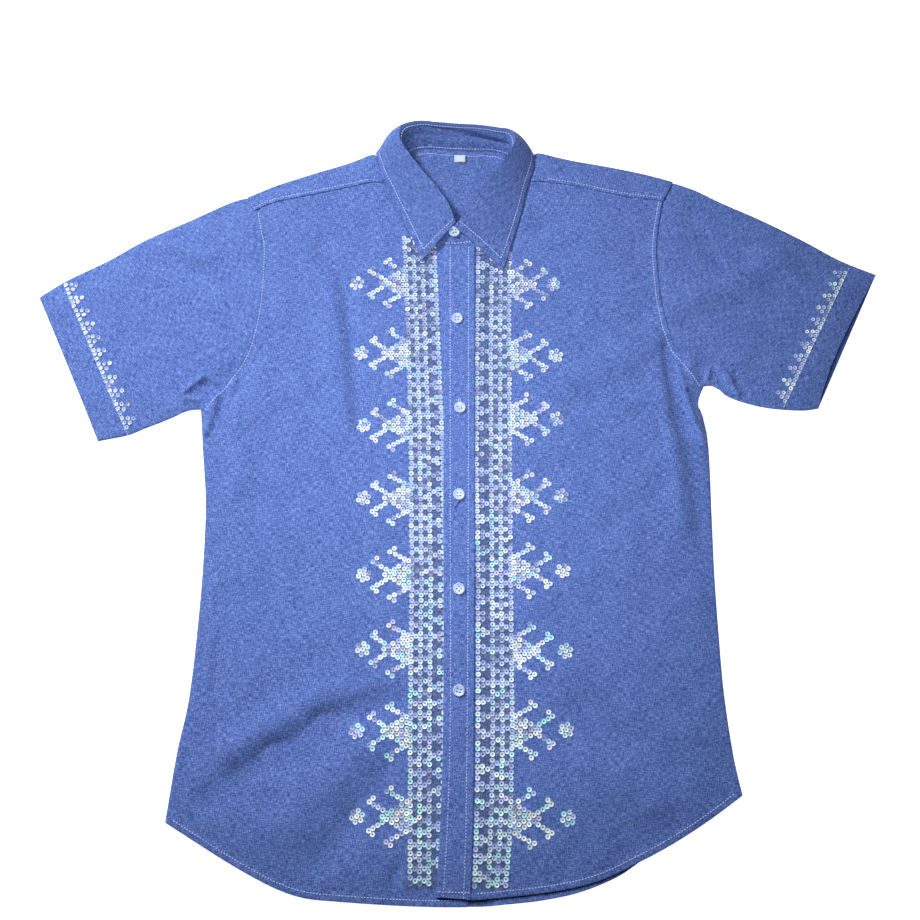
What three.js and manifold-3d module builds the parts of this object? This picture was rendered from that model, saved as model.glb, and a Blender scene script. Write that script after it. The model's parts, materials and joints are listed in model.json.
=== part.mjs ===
// A short-sleeved, button-front shirt with a turned-down collar, laid flat on its back.
// Millimetres. +X is the wearer's left, +Y runs from the hem to the collar, and +Z is up from the surface
// that it lies on. The origin is on that surface, under the centre front.

import * as THREE from "three";
import { mergeVertices } from "three/addons/utils/BufferGeometryUtils.js";
import Module from "manifold-3d";

const wasm = await Module();
wasm.setup();

// ---------------------------------------------------------------- driving sizes

const CLOTH = 1.2; // wall of a panel, with its turnings
const COLLAR_CLOTH = 1.4; // wall of the leaf and the band, which are faced and stiffened
const SEAM_GAP = 0.3; // between two pieces at a seam
const OVERLAP_GAP = 0.8; // between the two fronts where one lies on the other
const LOFT = 2.4; // how far the upper layer stands off the lower one
const LOFT_REACH = 45; // from a folded edge to the full loft
const MIDDLE_LOFT = 2.0; // loft along the placket, which lies flat
const MIDDLE_HALF_WIDTH = 24; // half the width of that flat stretch
const MIDDLE_BLEND = 30; // over which it passes into the folded cloth
const OVERLAP_EDGE = 18; // the left front lies on the right one as far as this
const OVERLAP_BLEND = 18; // and comes down over this
const PLACKET_GAP = 0.5; // between the left front and the strip on it
const NECK_CLEARANCE = 2.2; // from the band's foot to the panels that it is sewn to

// The yoke rides up over the part of the collar that is folded under it.
const RISE = { height: 4.5, startY: 284, endY: 345, halfWidth: 86, blend: 45 };

const BUTTON = {
  radius: 5.75,
  height: 2.2,
  rim: 1.1,
  dish: 0.5,
  foot: 0.6, // bevel of its lower edge
  lip: 0.5, // and of its upper one
  holeRadius: 0.8,
  holeOffset: 1.5,
};
const LABEL = { left: -5, right: 6.5, bottom: 325, top: 332.5, thickness: 0.6 };

const CLOTH_COLOUR = 0x5b7ac4;
const BUTTON_COLOUR = 0xc9d6f2;
const LABEL_COLOUR = 0xe9ecf4;

// ---------------------------------------------------------------- outline in plan

// Each edge is a short list of [x, y] that a smooth curve passes through. "right" is the wearer's right,
// which is at -X.
const OUTLINE = {
  right: {
    hem: [[-272, -345], [-245, -361], [-216, -378], [-188, -393], [-164, -404], [-140, -411], [-109, -414],
      [-62, -417], [-20, -418.5], [8, -418.5]],
    side: [[-272, -345], [-265, -285], [-256, -230], [-251, -145], [-250, -86], [-251, -41], [-256, 4],
      [-261, 52]],
    armhole: [[-261, 52], [-243, 73], [-223, 102], [-214, 126], [-208, 165], [-207, 221], [-211, 245],
      [-216, 268]],
    yokeSeam: [[-216, 268], [-196, 278], [-156, 287], [-116, 296], [-89, 301]],
    shoulder: [[-224, 286], [-197, 298.5], [-171, 308], [-143, 317.5], [-113, 327], [-91, 334]],
    sleeveTop: [[-224, 286], [-242, 280], [-282, 260], [-329, 237], [-366, 214], [-407, 192], [-434.5, 173]],
    underarm: [[-261, 52], [-269, 51.5], [-278, 49], [-291, 42.5], [-316, 32], [-333, 25], [-362, 19]],
    frontEdge: [[8, -418.5], [10, -340], [12, -235], [13.5, -41], [14, 228]],
  },
  left: {
    hem: [[-19.5, -409.5], [11, -412], [44, -410], [91, -404.5], [128, -396], [162, -381.5], [197, -364],
      [232, -343], [264, -321]],
    side: [[264, -321], [257.5, -285], [252, -230], [250, -174], [249, -116], [249.5, -56], [250, 8],
      [246, 40], [242, 58], [249, 76]],
    armhole: [[249, 76], [243, 85], [226, 109], [218, 123], [210, 153], [206.5, 191], [206.5, 233],
      [215, 280]],
    yokeSeam: [[215, 280], [190, 283], [161, 288], [136, 294], [110, 299], [82, 302]],
    shoulder: [[227.5, 304], [199, 312.5], [157, 322], [105, 331.5], [82, 335]],
    sleeveTop: [[227.5, 304], [251, 294], [277, 280], [318, 260], [360, 237], [398, 214], [434, 198]],
    underarm: [[249, 76], [256, 77], [265, 72], [270, 67], [283, 61], [304, 55], [325, 52], [348, 51],
      [363, 53]],
    frontEdge: [[-19.5, -409.5], [-15.5, -340], [-13.3, -235], [-13.9, -41], [-14.5, 228]],
  },
};

// The back's own hem, which shows past the left front at the centre.
const BACK_HEM = [[-272, -345], [-245, -359], [-188, -390], [-140, -408], [-62, -415], [10, -418.5],
  [44, -416.5], [77, -413], [111, -406], [145, -393], [171, -377], [232, -342], [264, -321]];

// The placket strip, which stands 1.5 mm past the edge of the front that it is sewn to.
const PLACKET = {
  freeEdge: [[-21, -409.5], [-17, -340], [-14.8, -235], [-15.4, -41], [-16, 227]],
  sewnEdge: [[11, -411.5], [13.5, -340], [14.8, -235], [16, -41], [16.8, 227]],
};

// How far a sleeve's upper layer is drawn back from the lower one at the cuff, in a bow from edge to edge
// that leans towards the underarm and grows steeply along the sleeve.
const CUFF_DRAW = { right: 0.5, left: 5.5 };
const CUFF_LEAN = 0.75;
const CUFF_GROWTH = 4;

// The place that each shoulder's fold bends through on its way under the collar.
const COLLAR_BEND = { right: [-84, 325], left: [77, 323] };

// Folds in the upper layer. Each has the line that it follows, its height, which is negative for a trough,
// and half its width.
const FOLDS = [
  { from: [-341, 228], to: [-266, 199], height: -1.6, width: 13 },
  { from: [-332, 246], to: [-262, 216], height: 1.6, width: 13 },
  { from: [-290, 247], to: [-241, 191], height: -1.2, width: 12 },
  { from: [-262, 70], to: [-229, 100], height: -2.2, width: 10 },
  { from: [-257, 33], to: [-229, 82], height: -2.0, width: 9 },
  { from: [-241, 61], to: [-241, -20], height: -1.6, width: 8 },
  { from: [-228, 55], to: [-226, -30], height: 1.8, width: 12 },
  { from: [-145, 228], to: [-120, 183], height: -1.4, width: 10 },
  { from: [-120, 183], to: [-102, 33], height: -1.5, width: 11 },
  { from: [-138, 165], to: [-124, 30], height: 1.4, width: 13 },
  { from: [-234, -133], to: [-226, -228], height: -1.8, width: 10 },
  { from: [-240, -319], to: [-180, -278], height: -2.4, width: 13 },
  { from: [-180, -278], to: [-131, -247], height: -2.4, width: 13 },
  { from: [-131, -247], to: [-60, -229], height: -2.0, width: 12 },
  { from: [-215, -268], to: [-122, -218], height: 2.6, width: 17 },
  { from: [-139, -378], to: [-67, -283], height: -1.6, width: 14 },
  { from: [-175, -345], to: [-95, -270], height: 2.0, width: 18 },
  { from: [78, 251], to: [114, 267], height: -1.2, width: 9 },
  { from: [76, 147], to: [199, 147], height: -0.8, width: 18 },
  { from: [115, 61], to: [184, 90], height: -1.4, width: 12 },
  { from: [110, 90], to: [213, 133], height: 1.6, width: 14 },
  { from: [114, -241], to: [246, -306], height: -1.4, width: 20 },
  { from: [148, -366], to: [242, -319], height: -1.6, width: 13 },
  { from: [130, -300], to: [225, -340], height: 1.8, width: 18 },
  { from: [212, 111], to: [222, 33], height: -2.2, width: 9 },
  { from: [222, 33], to: [236, -75], height: -2.0, width: 9 },
  { from: [236, -75], to: [245, -150], height: -1.4, width: 9 },
  { from: [205, 60], to: [214, -60], height: 2.0, width: 13 },
  { from: [232, 100], to: [241, 10], height: 2.2, width: 8 },
  { from: [214, 161], to: [328, 221], height: 2.2, width: 14 },
  { from: [245, 236], to: [301, 228], height: -1.4, width: 10 },
  { from: [219, 125], to: [284, 69], height: -1.8, width: 12 },
];

// ---------------------------------------------------------------- collar

// The band's foot (neck seam) and top, from the right front's end under the left one, round the back of the
// neck, to the left front's end on top. Each is [x, y, z].
const BAND = [
  { foot: [13, 229.5, 4.1], top: [13, 249, 7.8] },
  { foot: [0, 229, 4.1], top: [-2, 250, 8.6] },
  { foot: [-26, 234, 4.6], top: [-13, 267, 11] },
  { foot: [-44, 249, 5.0], top: [-24, 283, 12.5] },
  { foot: [-57, 271, 5.6], top: [-42, 305, 15.5] },
  { foot: [-63, 299, 6.2], top: [-54.5, 323, 19] },
  { foot: [-62, 320, 7.2], top: [-61, 337, 22] },
  { foot: [-54, 336.5, 7.4], top: [-58.5, 351, 23] },
  { foot: [-36, 341.5, 7.2], top: [-43, 358, 23] },
  { foot: [-10, 340, 7.2], top: [-21, 357, 22] },
  { foot: [15, 339, 7.2], top: [1, 355.5, 21.5] },
  { foot: [30, 339, 7.2], top: [19, 354.5, 22] },
  { foot: [43, 337, 7.2], top: [38, 350.5, 23] },
  { foot: [55, 331, 7.2], top: [53, 346.5, 23] },
  { foot: [61, 317, 7.0], top: [57, 336, 22] },
  { foot: [62, 300, 6.4], top: [53.5, 325.5, 20] },
  { foot: [57, 269, 5.6], top: [46, 310, 17] },
  { foot: [45, 249, 5.4], top: [33, 289.5, 14] },
  { foot: [27, 234, 5.8], top: [18, 269, 12.2] },
  { foot: [0, 229, 6.4], top: [0, 251, 10.6] },
  { foot: [-15, 229.5, 6.4], top: [-13, 247, 10.0] },
];
// Rows of the band where the yoke's seams and folds meet it.
const BAND_SHOULDERS = { rightSeam: 5, rightFold: 6, leftFold: 14, leftSeam: 15 };

// The leaf, in rows from the right point round the back to the left point: the crest of its roll line, the
// place that it bends towards, and its free edge. At the back it is folded under the yoke.
const LEAF = [
  { roll: [-2.5, 253, 15], bend: [-19, 236, 14.5], edge: [-38, 212, 6.9] },
  { roll: [-11, 271, 15.5], bend: [-32, 256, 14.5], edge: [-51, 241.5, 6.9] },
  { roll: [-21, 286.5, 16.5], bend: [-42, 275, 15], edge: [-61, 263, 6.9] },
  { roll: [-39, 309, 19], bend: [-58, 298, 17], edge: [-71, 286, 7.2] },
  { roll: [-53.5, 328, 22.5], bend: [-72, 320, 19], edge: [-82, 311, 8.6] },
  { roll: [-62, 342, 25], bend: [-80, 340, 20], edge: [-88, 336, 6.4] },
  { roll: [-61, 355.5, 26], bend: [-84, 360, 5], edge: [-78, 329, 0.8] },
  { roll: [-44, 361.5, 26], bend: [-55, 374, 2], edge: [-52, 316, 0.8] },
  { roll: [-21, 360.5, 25], bend: [-24, 374, 1], edge: [-24, 315, 0.8] },
  { roll: [0, 359, 24.5], bend: [0, 373, 1], edge: [0, 315, 0.8] },
  { roll: [20, 357.5, 25], bend: [23, 372, 1], edge: [23, 315, 0.8] },
  { roll: [40, 354, 26], bend: [50, 366, 2], edge: [46, 315, 0.8] },
  { roll: [55, 350.5, 26], bend: [76, 355, 5], edge: [69, 326, 0.8] },
  { roll: [59, 340, 25], bend: [74, 339, 20], edge: [78.5, 334, 6.4] },
  { roll: [55, 330, 23], bend: [70, 327, 19], edge: [79, 317, 8.6] },
  { roll: [45, 314.5, 20.5], bend: [61, 304, 17.5], edge: [71, 291, 7.2] },
  { roll: [30.5, 293.5, 17.5], bend: [50, 280, 15.5], edge: [66, 268, 6.9] },
  { roll: [15, 273, 16], bend: [37, 257, 14.5], edge: [57, 237, 6.9] },
  { roll: [3, 255, 15], bend: [22, 235, 13.5], edge: [46, 202, 6.9] },
];

// Buttons down the placket, on the centre front. The first is on the collar band and leans with it.
const BUTTONS = [
  { name: "button_1", x: -5, y: 243 },
  { name: "button_2", x: -2, y: 147 },
  { name: "button_3", x: 1, y: 52 },
  { name: "button_4", x: 0, y: -37 },
  { name: "button_5", x: 0, y: -130 },
  { name: "button_6", x: 0, y: -226 },
];

// ---------------------------------------------------------------- curves in plan

const clamp = (value) => Math.min(1, Math.max(0, value));
const smooth = (value) => clamp(value) ** 2 * (3 - 2 * clamp(value));

// An edge is a function from 0..1 to a point in plan.
function edge(points) {
  const curve = new THREE.SplineCurve(points.map(([x, y]) => new THREE.Vector2(x, y)));
  curve.arcLengthDivisions = 400;
  return (t) => curve.getPointAt(t);
}

const reverse = (line) => (t) => line(1 - t);
const shift = (line, dx, dy) => (t) => line(t).add(new THREE.Vector2(dx, dy));
const straight = (start, end) => (t) => new THREE.Vector2().lerpVectors(start, end, t);

// Two edges end to end, the first on the given share of 0..1.
const chain = (first, second, share) => (t) =>
  t <= share ? first(t / share) : second((t - share) / (1 - share));

// A four-sided patch between its edges: u runs along near and far, v along left and right, whose ends are
// drawn to the ends of near and far.
function patch({ near, far, left, right }) {
  return (u, v) => {
    const point = new THREE.Vector2();
    point.addScaledVector(near(u), 1 - v).addScaledVector(far(u), v);
    point.addScaledVector(left(v), 1 - u).addScaledVector(left(0), -(1 - u) * (1 - v));
    point.addScaledVector(left(1), -(1 - u) * v);
    point.addScaledVector(right(v), u).addScaledVector(right(0), -u * (1 - v));
    return point.addScaledVector(right(1), -u * v);
  };
}

const sides = {};
for (const [name, lines] of Object.entries(OUTLINE)) {
  sides[name] = Object.fromEntries(Object.entries(lines).map(([key, points]) => [key, edge(points)]));
}

// The armhole is cut in equal rows up to the front's yoke seam, and one more out to the shoulder's tip. Every
// piece that meets there uses the same rows, so the seams stay parallel.
const ARMHOLE_ROWS = 10;
const TIP_ROW = ARMHOLE_ROWS + 1;
const BACK_SEAM_ROW = 9; // where the back panel's seam with the yoke meets the armhole

function armholePoint(name, row) {
  const { armhole, shoulder } = sides[name];
  const at = (whole) => (whole > ARMHOLE_ROWS ? shoulder(0) : armhole(whole / ARMHOLE_ROWS));
  const whole = Math.min(Math.floor(row), ARMHOLE_ROWS);
  return at(whole).lerp(at(whole + 1), row - whole);
}

const armholeEdge = (name, from, to) => (t) => armholePoint(name, from + (to - from) * t);

// ---------------------------------------------------------------- heights

// Points along every folded or free edge, from which the loft grows.
const RIM_STEPS = 40;
const CUFF_STEPS = 20;
const rim = [];
for (const side of Object.values(sides)) {
  for (const name of ["hem", "side", "shoulder", "sleeveTop", "underarm"]) {
    for (let i = 0; i <= RIM_STEPS; i++) rim.push(side[name](i / RIM_STEPS));
  }
  const cuff = straight(side.sleeveTop(1), side.underarm(1));
  for (let i = 0; i <= CUFF_STEPS; i++) rim.push(cuff(i / CUFF_STEPS));
}

function distanceToRim(x, y) {
  let least = Infinity;
  for (const point of rim) least = Math.min(least, Math.hypot(point.x - x, point.y - y));
  return least;
}

function distanceToLine(x, y, [ax, ay], [bx, by]) {
  const along = clamp(((x - ax) * (bx - ax) + (y - ay) * (by - ay)) / ((bx - ax) ** 2 + (by - ay) ** 2));
  return Math.hypot(x - ax - along * (bx - ax), y - ay - along * (by - ay));
}

// Height of the lower layer's underside: flat, but for the rise over the collar.
function floorHeight(x, y) {
  const up = smooth((y - RISE.startY) / (RISE.endY - RISE.startY));
  return RISE.height * up * smooth((RISE.halfWidth + RISE.blend - Math.abs(x)) / RISE.blend);
}

// Height of the upper layer's underside.
function loftHeight(x, y) {
  const ease = 1 - (1 - clamp(distanceToRim(x, y) / LOFT_REACH)) ** 2;
  let folded = LOFT;
  for (const fold of FOLDS) {
    folded += fold.height * Math.exp(-((distanceToLine(x, y, fold.from, fold.to) / fold.width) ** 2));
  }
  const away = smooth((Math.abs(x) - MIDDLE_HALF_WIDTH) / MIDDLE_BLEND);
  const loft = MIDDLE_LOFT + away * (Math.max(0, folded) - MIDDLE_LOFT);
  return floorHeight(x, y) + CLOTH + SEAM_GAP + ease * loft;
}

// Height of the left front's underside, which rides over the right front at the placket.
function overlapHeight(x, y) {
  const over = smooth((OVERLAP_EDGE + OVERLAP_BLEND - x) / OVERLAP_BLEND);
  return loftHeight(x, y) + (CLOTH + OVERLAP_GAP) * over;
}

// ---------------------------------------------------------------- solids

// A closed wall between two skins, each a function of (u, v). With ring set, v goes round and closes.
function wall([across, along], outer, inner, ring = false) {
  const row = ring ? along : along + 1;
  const position = [];
  for (const skin of [outer, inner]) {
    for (let i = 0; i <= across; i++) {
      for (let j = 0; j < row; j++) position.push(...skin(i / across, j / along).toArray());
    }
  }
  const out = (i, j) => i * row + (j % row);
  const under = (i, j) => (across + 1) * row + out(i, j);
  const index = [];
  const quad = (a, b, c, d) => index.push(a, b, c, a, c, d);
  for (let i = 0; i < across; i++) {
    for (let j = 0; j < along; j++) {
      quad(out(i, j), out(i + 1, j), out(i + 1, j + 1), out(i, j + 1));
      quad(under(i, j), under(i, j + 1), under(i + 1, j + 1), under(i + 1, j));
    }
  }
  for (let j = 0; j < along; j++) {
    quad(out(0, j), out(0, j + 1), under(0, j + 1), under(0, j));
    quad(out(across, j + 1), out(across, j), under(across, j), under(across, j + 1));
  }
  for (let i = 0; i < across && !ring; i++) {
    quad(out(i + 1, 0), out(i, 0), under(i, 0), under(i + 1, 0));
    quad(out(i, along), out(i + 1, along), under(i + 1, along), under(i, along));
  }
  const geometry = new THREE.BufferGeometry();
  geometry.setAttribute("position", new THREE.Float32BufferAttribute(position, 3));
  geometry.setIndex(index);
  return geometry;
}

// A panel over a patch, whose underside follows a height.
function panel(steps, plan, height, thickness = CLOTH) {
  const skin = (rise) => (u, v) => {
    const { x, y } = plan(u, v);
    return new THREE.Vector3(x, y, height(x, y) + rise);
  };
  return wall(steps, skin(thickness), skin(0));
}

function solid(geometry) {
  const bare = new THREE.BufferGeometry();
  bare.setAttribute("position", geometry.getAttribute("position"));
  bare.setIndex(geometry.getIndex());
  const merged = mergeVertices(bare, 1e-4);
  return new wasm.Manifold(
    new wasm.Mesh({
      numProp: 3,
      vertProperties: new Float32Array(merged.getAttribute("position").array),
      triVerts: new Uint32Array(merged.getIndex().array),
    }),
  );
}

function meshOf(body) {
  const { vertProperties, triVerts } = body.getMesh();
  const geometry = new THREE.BufferGeometry();
  geometry.setAttribute("position", new THREE.Float32BufferAttribute(vertProperties, 3));
  geometry.setIndex(Array.from(triVerts));
  return geometry;
}

const shirt = new THREE.Group();

function add(name, geometry, material, place = new THREE.Matrix4()) {
  geometry.deleteAttribute("normal");
  geometry.deleteAttribute("uv");
  geometry.computeVertexNormals();
  const mesh = new THREE.Mesh(geometry, material);
  mesh.name = name;
  mesh.applyMatrix4(place);
  shirt.add(mesh);
}

const matte = (color, roughness) => new THREE.MeshStandardMaterial({ color, roughness, metalness: 0 });
const clothMaterial = () => matte(CLOTH_COLOUR, 0.9);

// ---------------------------------------------------------------- neck seam

const footCurve = new THREE.SplineCurve(BAND.map(({ foot: [x, y] }) => new THREE.Vector2(x, y)));

// A place on the neck edge of the panels, by its row in BAND, clear of the band's foot.
function neckPoint(row) {
  const t = row / (BAND.length - 1);
  const along = footCurve.getTangent(t);
  return footCurve.getPoint(t).add(new THREE.Vector2(-along.y, along.x).multiplyScalar(NECK_CLEARANCE));
}

const neckEdge = (from, to) => (t) => neckPoint(from + (to - from) * t);

// ---------------------------------------------------------------- body panels

const { rightSeam, rightFold, leftFold, leftSeam } = BAND_SHOULDERS;
const BACK_COLUMNS = 14;
const BACK_SIDE_ROWS = 13; // rows of the back from the hem to the armpit
const FRONT_SIDE_ROWS = 24;
const FRONT_ROWS = FRONT_SIDE_ROWS + ARMHOLE_ROWS;

const backSeam = (gap) =>
  shift(straight(armholePoint("right", BACK_SEAM_ROW), armholePoint("left", BACK_SEAM_ROW)), 0, gap);

function back() {
  const rows = BACK_SIDE_ROWS + BACK_SEAM_ROW;
  const long = (name) => chain(sides[name].side, armholeEdge(name, 0, BACK_SEAM_ROW), BACK_SIDE_ROWS / rows);
  const plan = patch({ near: edge(BACK_HEM), far: backSeam(0), left: long("right"), right: long("left") });
  return panel([BACK_COLUMNS, rows], plan, floorHeight);
}

// The yoke seam of a front, carried on under the collar to the neck.
function yokeSeam(name) {
  const neck = neckPoint(name === "right" ? rightSeam : leftSeam);
  return edge([...OUTLINE[name].yokeSeam, [neck.x, neck.y]]);
}

// The fold along the top of a shoulder, carried on under the collar to the neck.
function shoulderFold(name) {
  const neck = neckPoint(name === "right" ? rightFold : leftFold);
  return edge([...OUTLINE[name].shoulder, COLLAR_BEND[name], [neck.x, neck.y]]);
}

const YOKE_COLUMNS = 9; // columns of a front along its yoke seam
const NECK_COLUMNS = rightSeam; // and along the neck, one to each row of the band
const FRONT_COLUMNS = YOKE_COLUMNS + NECK_COLUMNS;
const NECK_END = 0.02; // rows of the band that a front's neck edge stops short of the yoke

const frontSide = (name) =>
  chain(sides[name].side, armholeEdge(name, 0, ARMHOLE_ROWS), FRONT_SIDE_ROWS / FRONT_ROWS);

function frontRight() {
  const seam = shift(yokeSeam("right"), 0, -SEAM_GAP);
  const plan = patch({
    near: sides.right.hem,
    far: chain(seam, neckEdge(rightSeam, 0), YOKE_COLUMNS / FRONT_COLUMNS),
    left: frontSide("right"),
    right: sides.right.frontEdge,
  });
  return panel([FRONT_COLUMNS, FRONT_ROWS], plan, loftHeight);
}

function frontLeft() {
  const seam = shift(yokeSeam("left"), 0, -SEAM_GAP);
  const plan = patch({
    near: sides.left.hem,
    far: chain(neckEdge(BAND.length - 1, leftSeam + NECK_END), reverse(seam), NECK_COLUMNS / FRONT_COLUMNS),
    left: sides.left.frontEdge,
    right: frontSide("left"),
  });
  return panel([FRONT_COLUMNS, FRONT_ROWS], plan, overlapHeight);
}

const placketHeight = (x, y) => overlapHeight(Math.min(x, OVERLAP_EDGE), y) + CLOTH + PLACKET_GAP;

function placket() {
  const STEPS = [2, 30]; // across and along
  const freeEdge = edge(PLACKET.freeEdge);
  const sewnEdge = edge(PLACKET.sewnEdge);
  const plan = patch({
    near: straight(freeEdge(0), sewnEdge(0)),
    far: straight(freeEdge(1), sewnEdge(1)),
    left: freeEdge,
    right: sewnEdge,
  });
  return panel(STEPS, plan, placketHeight);
}

// ---------------------------------------------------------------- yoke

// The lower layer of the yoke, out to just inside the shoulder folds.
function yokeUnder() {
  const INSIDE_FOLD = 0.5;
  const folds = [shoulderFold("right"), shoulderFold("left")].map((fold) => shift(fold, 0, -INSIDE_FOLD));
  const neck = neckEdge(rightFold, leftFold);
  const FOLD_COLUMNS = 8; // columns along each shoulder's fold
  const ROWS = 8;
  const columns = 2 * FOLD_COLUMNS + leftFold - rightFold;
  const share = FOLD_COLUMNS / columns;
  const far = chain(folds[0], chain(neck, reverse(folds[1]), 1 - share / (1 - share)), share);
  const plan = patch({
    near: backSeam(SEAM_GAP),
    far,
    left: armholeEdge("right", BACK_SEAM_ROW, TIP_ROW),
    right: armholeEdge("left", BACK_SEAM_ROW, TIP_ROW),
  });
  return panel([columns, ROWS], plan, floorHeight);
}

// A shoulder of the yoke: the upper layer from the front seam to the fold, and round it into the lower layer.
function yokeShoulder(name) {
  const seam = yokeSeam(name);
  const fold = shoulderFold(name);
  const armhole = armholeEdge(name, ARMHOLE_ROWS, TIP_ROW);
  const neck = name === "right" ? neckEdge(rightSeam, rightFold) : neckEdge(leftSeam, leftFold);
  const plan =
    name === "right"
      ? patch({ near: seam, far: fold, left: armhole, right: neck })
      : patch({ near: reverse(seam), far: reverse(fold), left: neck, right: armhole });
  const TOP_ROWS = 5;
  const ROWS = TOP_ROWS + 2;
  const LAP = 8; // how far it runs on inside the lower layer
  const SKIN = 0.05; // how far it stays inside that layer's faces
  const skin = (isOuter) => (u, v) => {
    const row = Math.round(v * ROWS);
    const depth = plan(u, 0).distanceTo(plan(u, 1));
    let inset = row > TOP_ROWS + 1 ? LAP : 0;
    if (!isOuter && row >= TOP_ROWS) inset = Math.max(inset, CLOTH);
    const { x, y } = plan(u, row >= TOP_ROWS ? 1 - inset / depth : row / TOP_ROWS);
    const upper = loftHeight(x, y) + (isOuter ? CLOTH : 0);
    const lower = floorHeight(x, y) + (isOuter ? SKIN : CLOTH - SKIN);
    return new THREE.Vector3(x, y, row > TOP_ROWS ? lower : upper);
  };
  return wall([YOKE_COLUMNS, ROWS], skin(true), skin(false));
}

function yoke() {
  return meshOf(solid(yokeUnder()).add(solid(yokeShoulder("right"))).add(solid(yokeShoulder("left"))));
}

// ---------------------------------------------------------------- sleeves

// A flattened tube from the armhole to the cuff, open at both ends and folded along its top and underarm.
function sleeve(name) {
  const side = sides[name];
  const outward = name === "right" ? -1 : 1;
  const armhole = shift(armholeEdge(name, 0, TIP_ROW), outward * 2 * SEAM_GAP, 0);
  const cuff = straight(side.underarm(1), side.sleeveTop(1));
  const top = edge([armhole(1).toArray(), ...OUTLINE[name].sleeveTop.slice(1)]);
  const underarm = edge([armhole(0).toArray(), ...OUTLINE[name].underarm.slice(1)]);
  const plan =
    name === "right"
      ? patch({ near: reverse(armhole), far: reverse(cuff), left: top, right: underarm })
      : patch({ near: armhole, far: cuff, left: underarm, right: top });
  const lengthways = side.sleeveTop(1).sub(side.sleeveTop(0)).normalize();
  const LAYER = TIP_ROW + 1; // rows in each layer
  const STEPS = 11; // from the armhole to the cuff
  const skin = (isOuter) => (u, v) => {
    const row = Math.round(v * 2 * LAYER) % (2 * LAYER);
    const isUpper = row < LAYER;
    const step = isUpper ? row : 2 * LAYER - 1 - row;
    const width = plan(0, u).distanceTo(plan(1, u));
    const inset = isOuter ? 0 : CLOTH / width;
    const across = inset + (step / (LAYER - 1)) * (1 - 2 * inset);
    const point = plan(across, u);
    const fromUnderarm = name === "right" ? 1 - across : across;
    const bow = Math.sin(Math.PI * clamp(fromUnderarm) ** CUFF_LEAN);
    if (isUpper) point.addScaledVector(lengthways, -CUFF_DRAW[name] * bow * u ** CUFF_GROWTH);
    const upper = loftHeight(point.x, point.y) + (isOuter ? CLOTH : 0);
    return new THREE.Vector3(point.x, point.y, isUpper ? upper : isOuter ? 0 : CLOTH);
  };
  return wall([STEPS, 2 * LAYER], skin(true), skin(false), true);
}

// ---------------------------------------------------------------- collar walls

// A wall of even thickness about a surface of (u, v).
function sheet(steps, surface, thickness) {
  const STEP = 1e-3;
  const skin = (offset) => (u, v) => {
    const point = surface(u, v);
    const nextU = surface(u + (u < 0.5 ? STEP : -STEP), v).sub(point).multiplyScalar(u < 0.5 ? 1 : -1);
    const nextV = surface(u, v + (v < 0.5 ? STEP : -STEP)).sub(point).multiplyScalar(v < 0.5 ? 1 : -1);
    return point.addScaledVector(nextU.cross(nextV).normalize(), offset);
  };
  return wall(steps, skin(thickness / 2), skin(-thickness / 2));
}

const BAND_STEPS = [40, 3]; // round the neck, and up
const LEAF_STEPS = [36, 6];

const spatial = (rows, key) => new THREE.CatmullRomCurve3(rows.map((row) => new THREE.Vector3(...row[key])));

function bandSurface() {
  const foot = spatial(BAND, "foot");
  const top = spatial(BAND, "top");
  return (u, v) => foot.getPoint(u).lerp(top.getPoint(u), v);
}

function leafSurface() {
  const roll = spatial(LEAF, "roll");
  const bend = spatial(LEAF, "bend");
  const free = spatial(LEAF, "edge");
  return (u, v) => {
    const point = roll.getPoint(u).multiplyScalar((1 - v) ** 2);
    point.addScaledVector(bend.getPoint(u), 2 * v * (1 - v));
    point.addScaledVector(free.getPoint(u), v ** 2);
    return point.setZ(Math.max(point.z, COLLAR_CLOTH / 2));
  };
}

// ---------------------------------------------------------------- small pieces

function button() {
  const SIDES = 18;
  const HOLE_SIDES = 6;
  const { radius, height, rim: rimWidth, dish, foot, lip, holeRadius, holeOffset } = BUTTON;
  const profile = [
    [0, 0],
    [radius - foot, 0],
    [radius, foot],
    [radius, height - lip],
    [radius - lip, height],
    [radius - rimWidth, height],
    [radius - rimWidth - lip, height - dish],
    [0, height - dish],
  ].map(([r, z]) => new THREE.Vector2(r, z));
  const disc = new THREE.LatheGeometry(profile, SIDES).rotateX(Math.PI / 2);
  let body = solid(disc);
  for (const [dx, dy] of [[1, 1], [-1, 1], [-1, -1], [1, -1]]) {
    const hole = new THREE.CylinderGeometry(holeRadius, holeRadius, 3 * height, HOLE_SIDES);
    hole.rotateX(Math.PI / 2).translate(dx * holeOffset, dy * holeOffset, 0);
    body = body.subtract(solid(hole));
  }
  return meshOf(body);
}

function label() {
  const STEPS = [2, 2];
  const { left, right, bottom, top, thickness } = LABEL;
  const corner = (x, y) => new THREE.Vector2(x, y);
  const plan = patch({
    near: straight(corner(left, bottom), corner(right, bottom)),
    far: straight(corner(left, top), corner(right, top)),
    left: straight(corner(left, bottom), corner(left, top)),
    right: straight(corner(right, bottom), corner(right, top)),
  });
  return panel(STEPS, plan, (x, y) => floorHeight(x, y) + CLOTH + SEAM_GAP, thickness);
}

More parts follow.
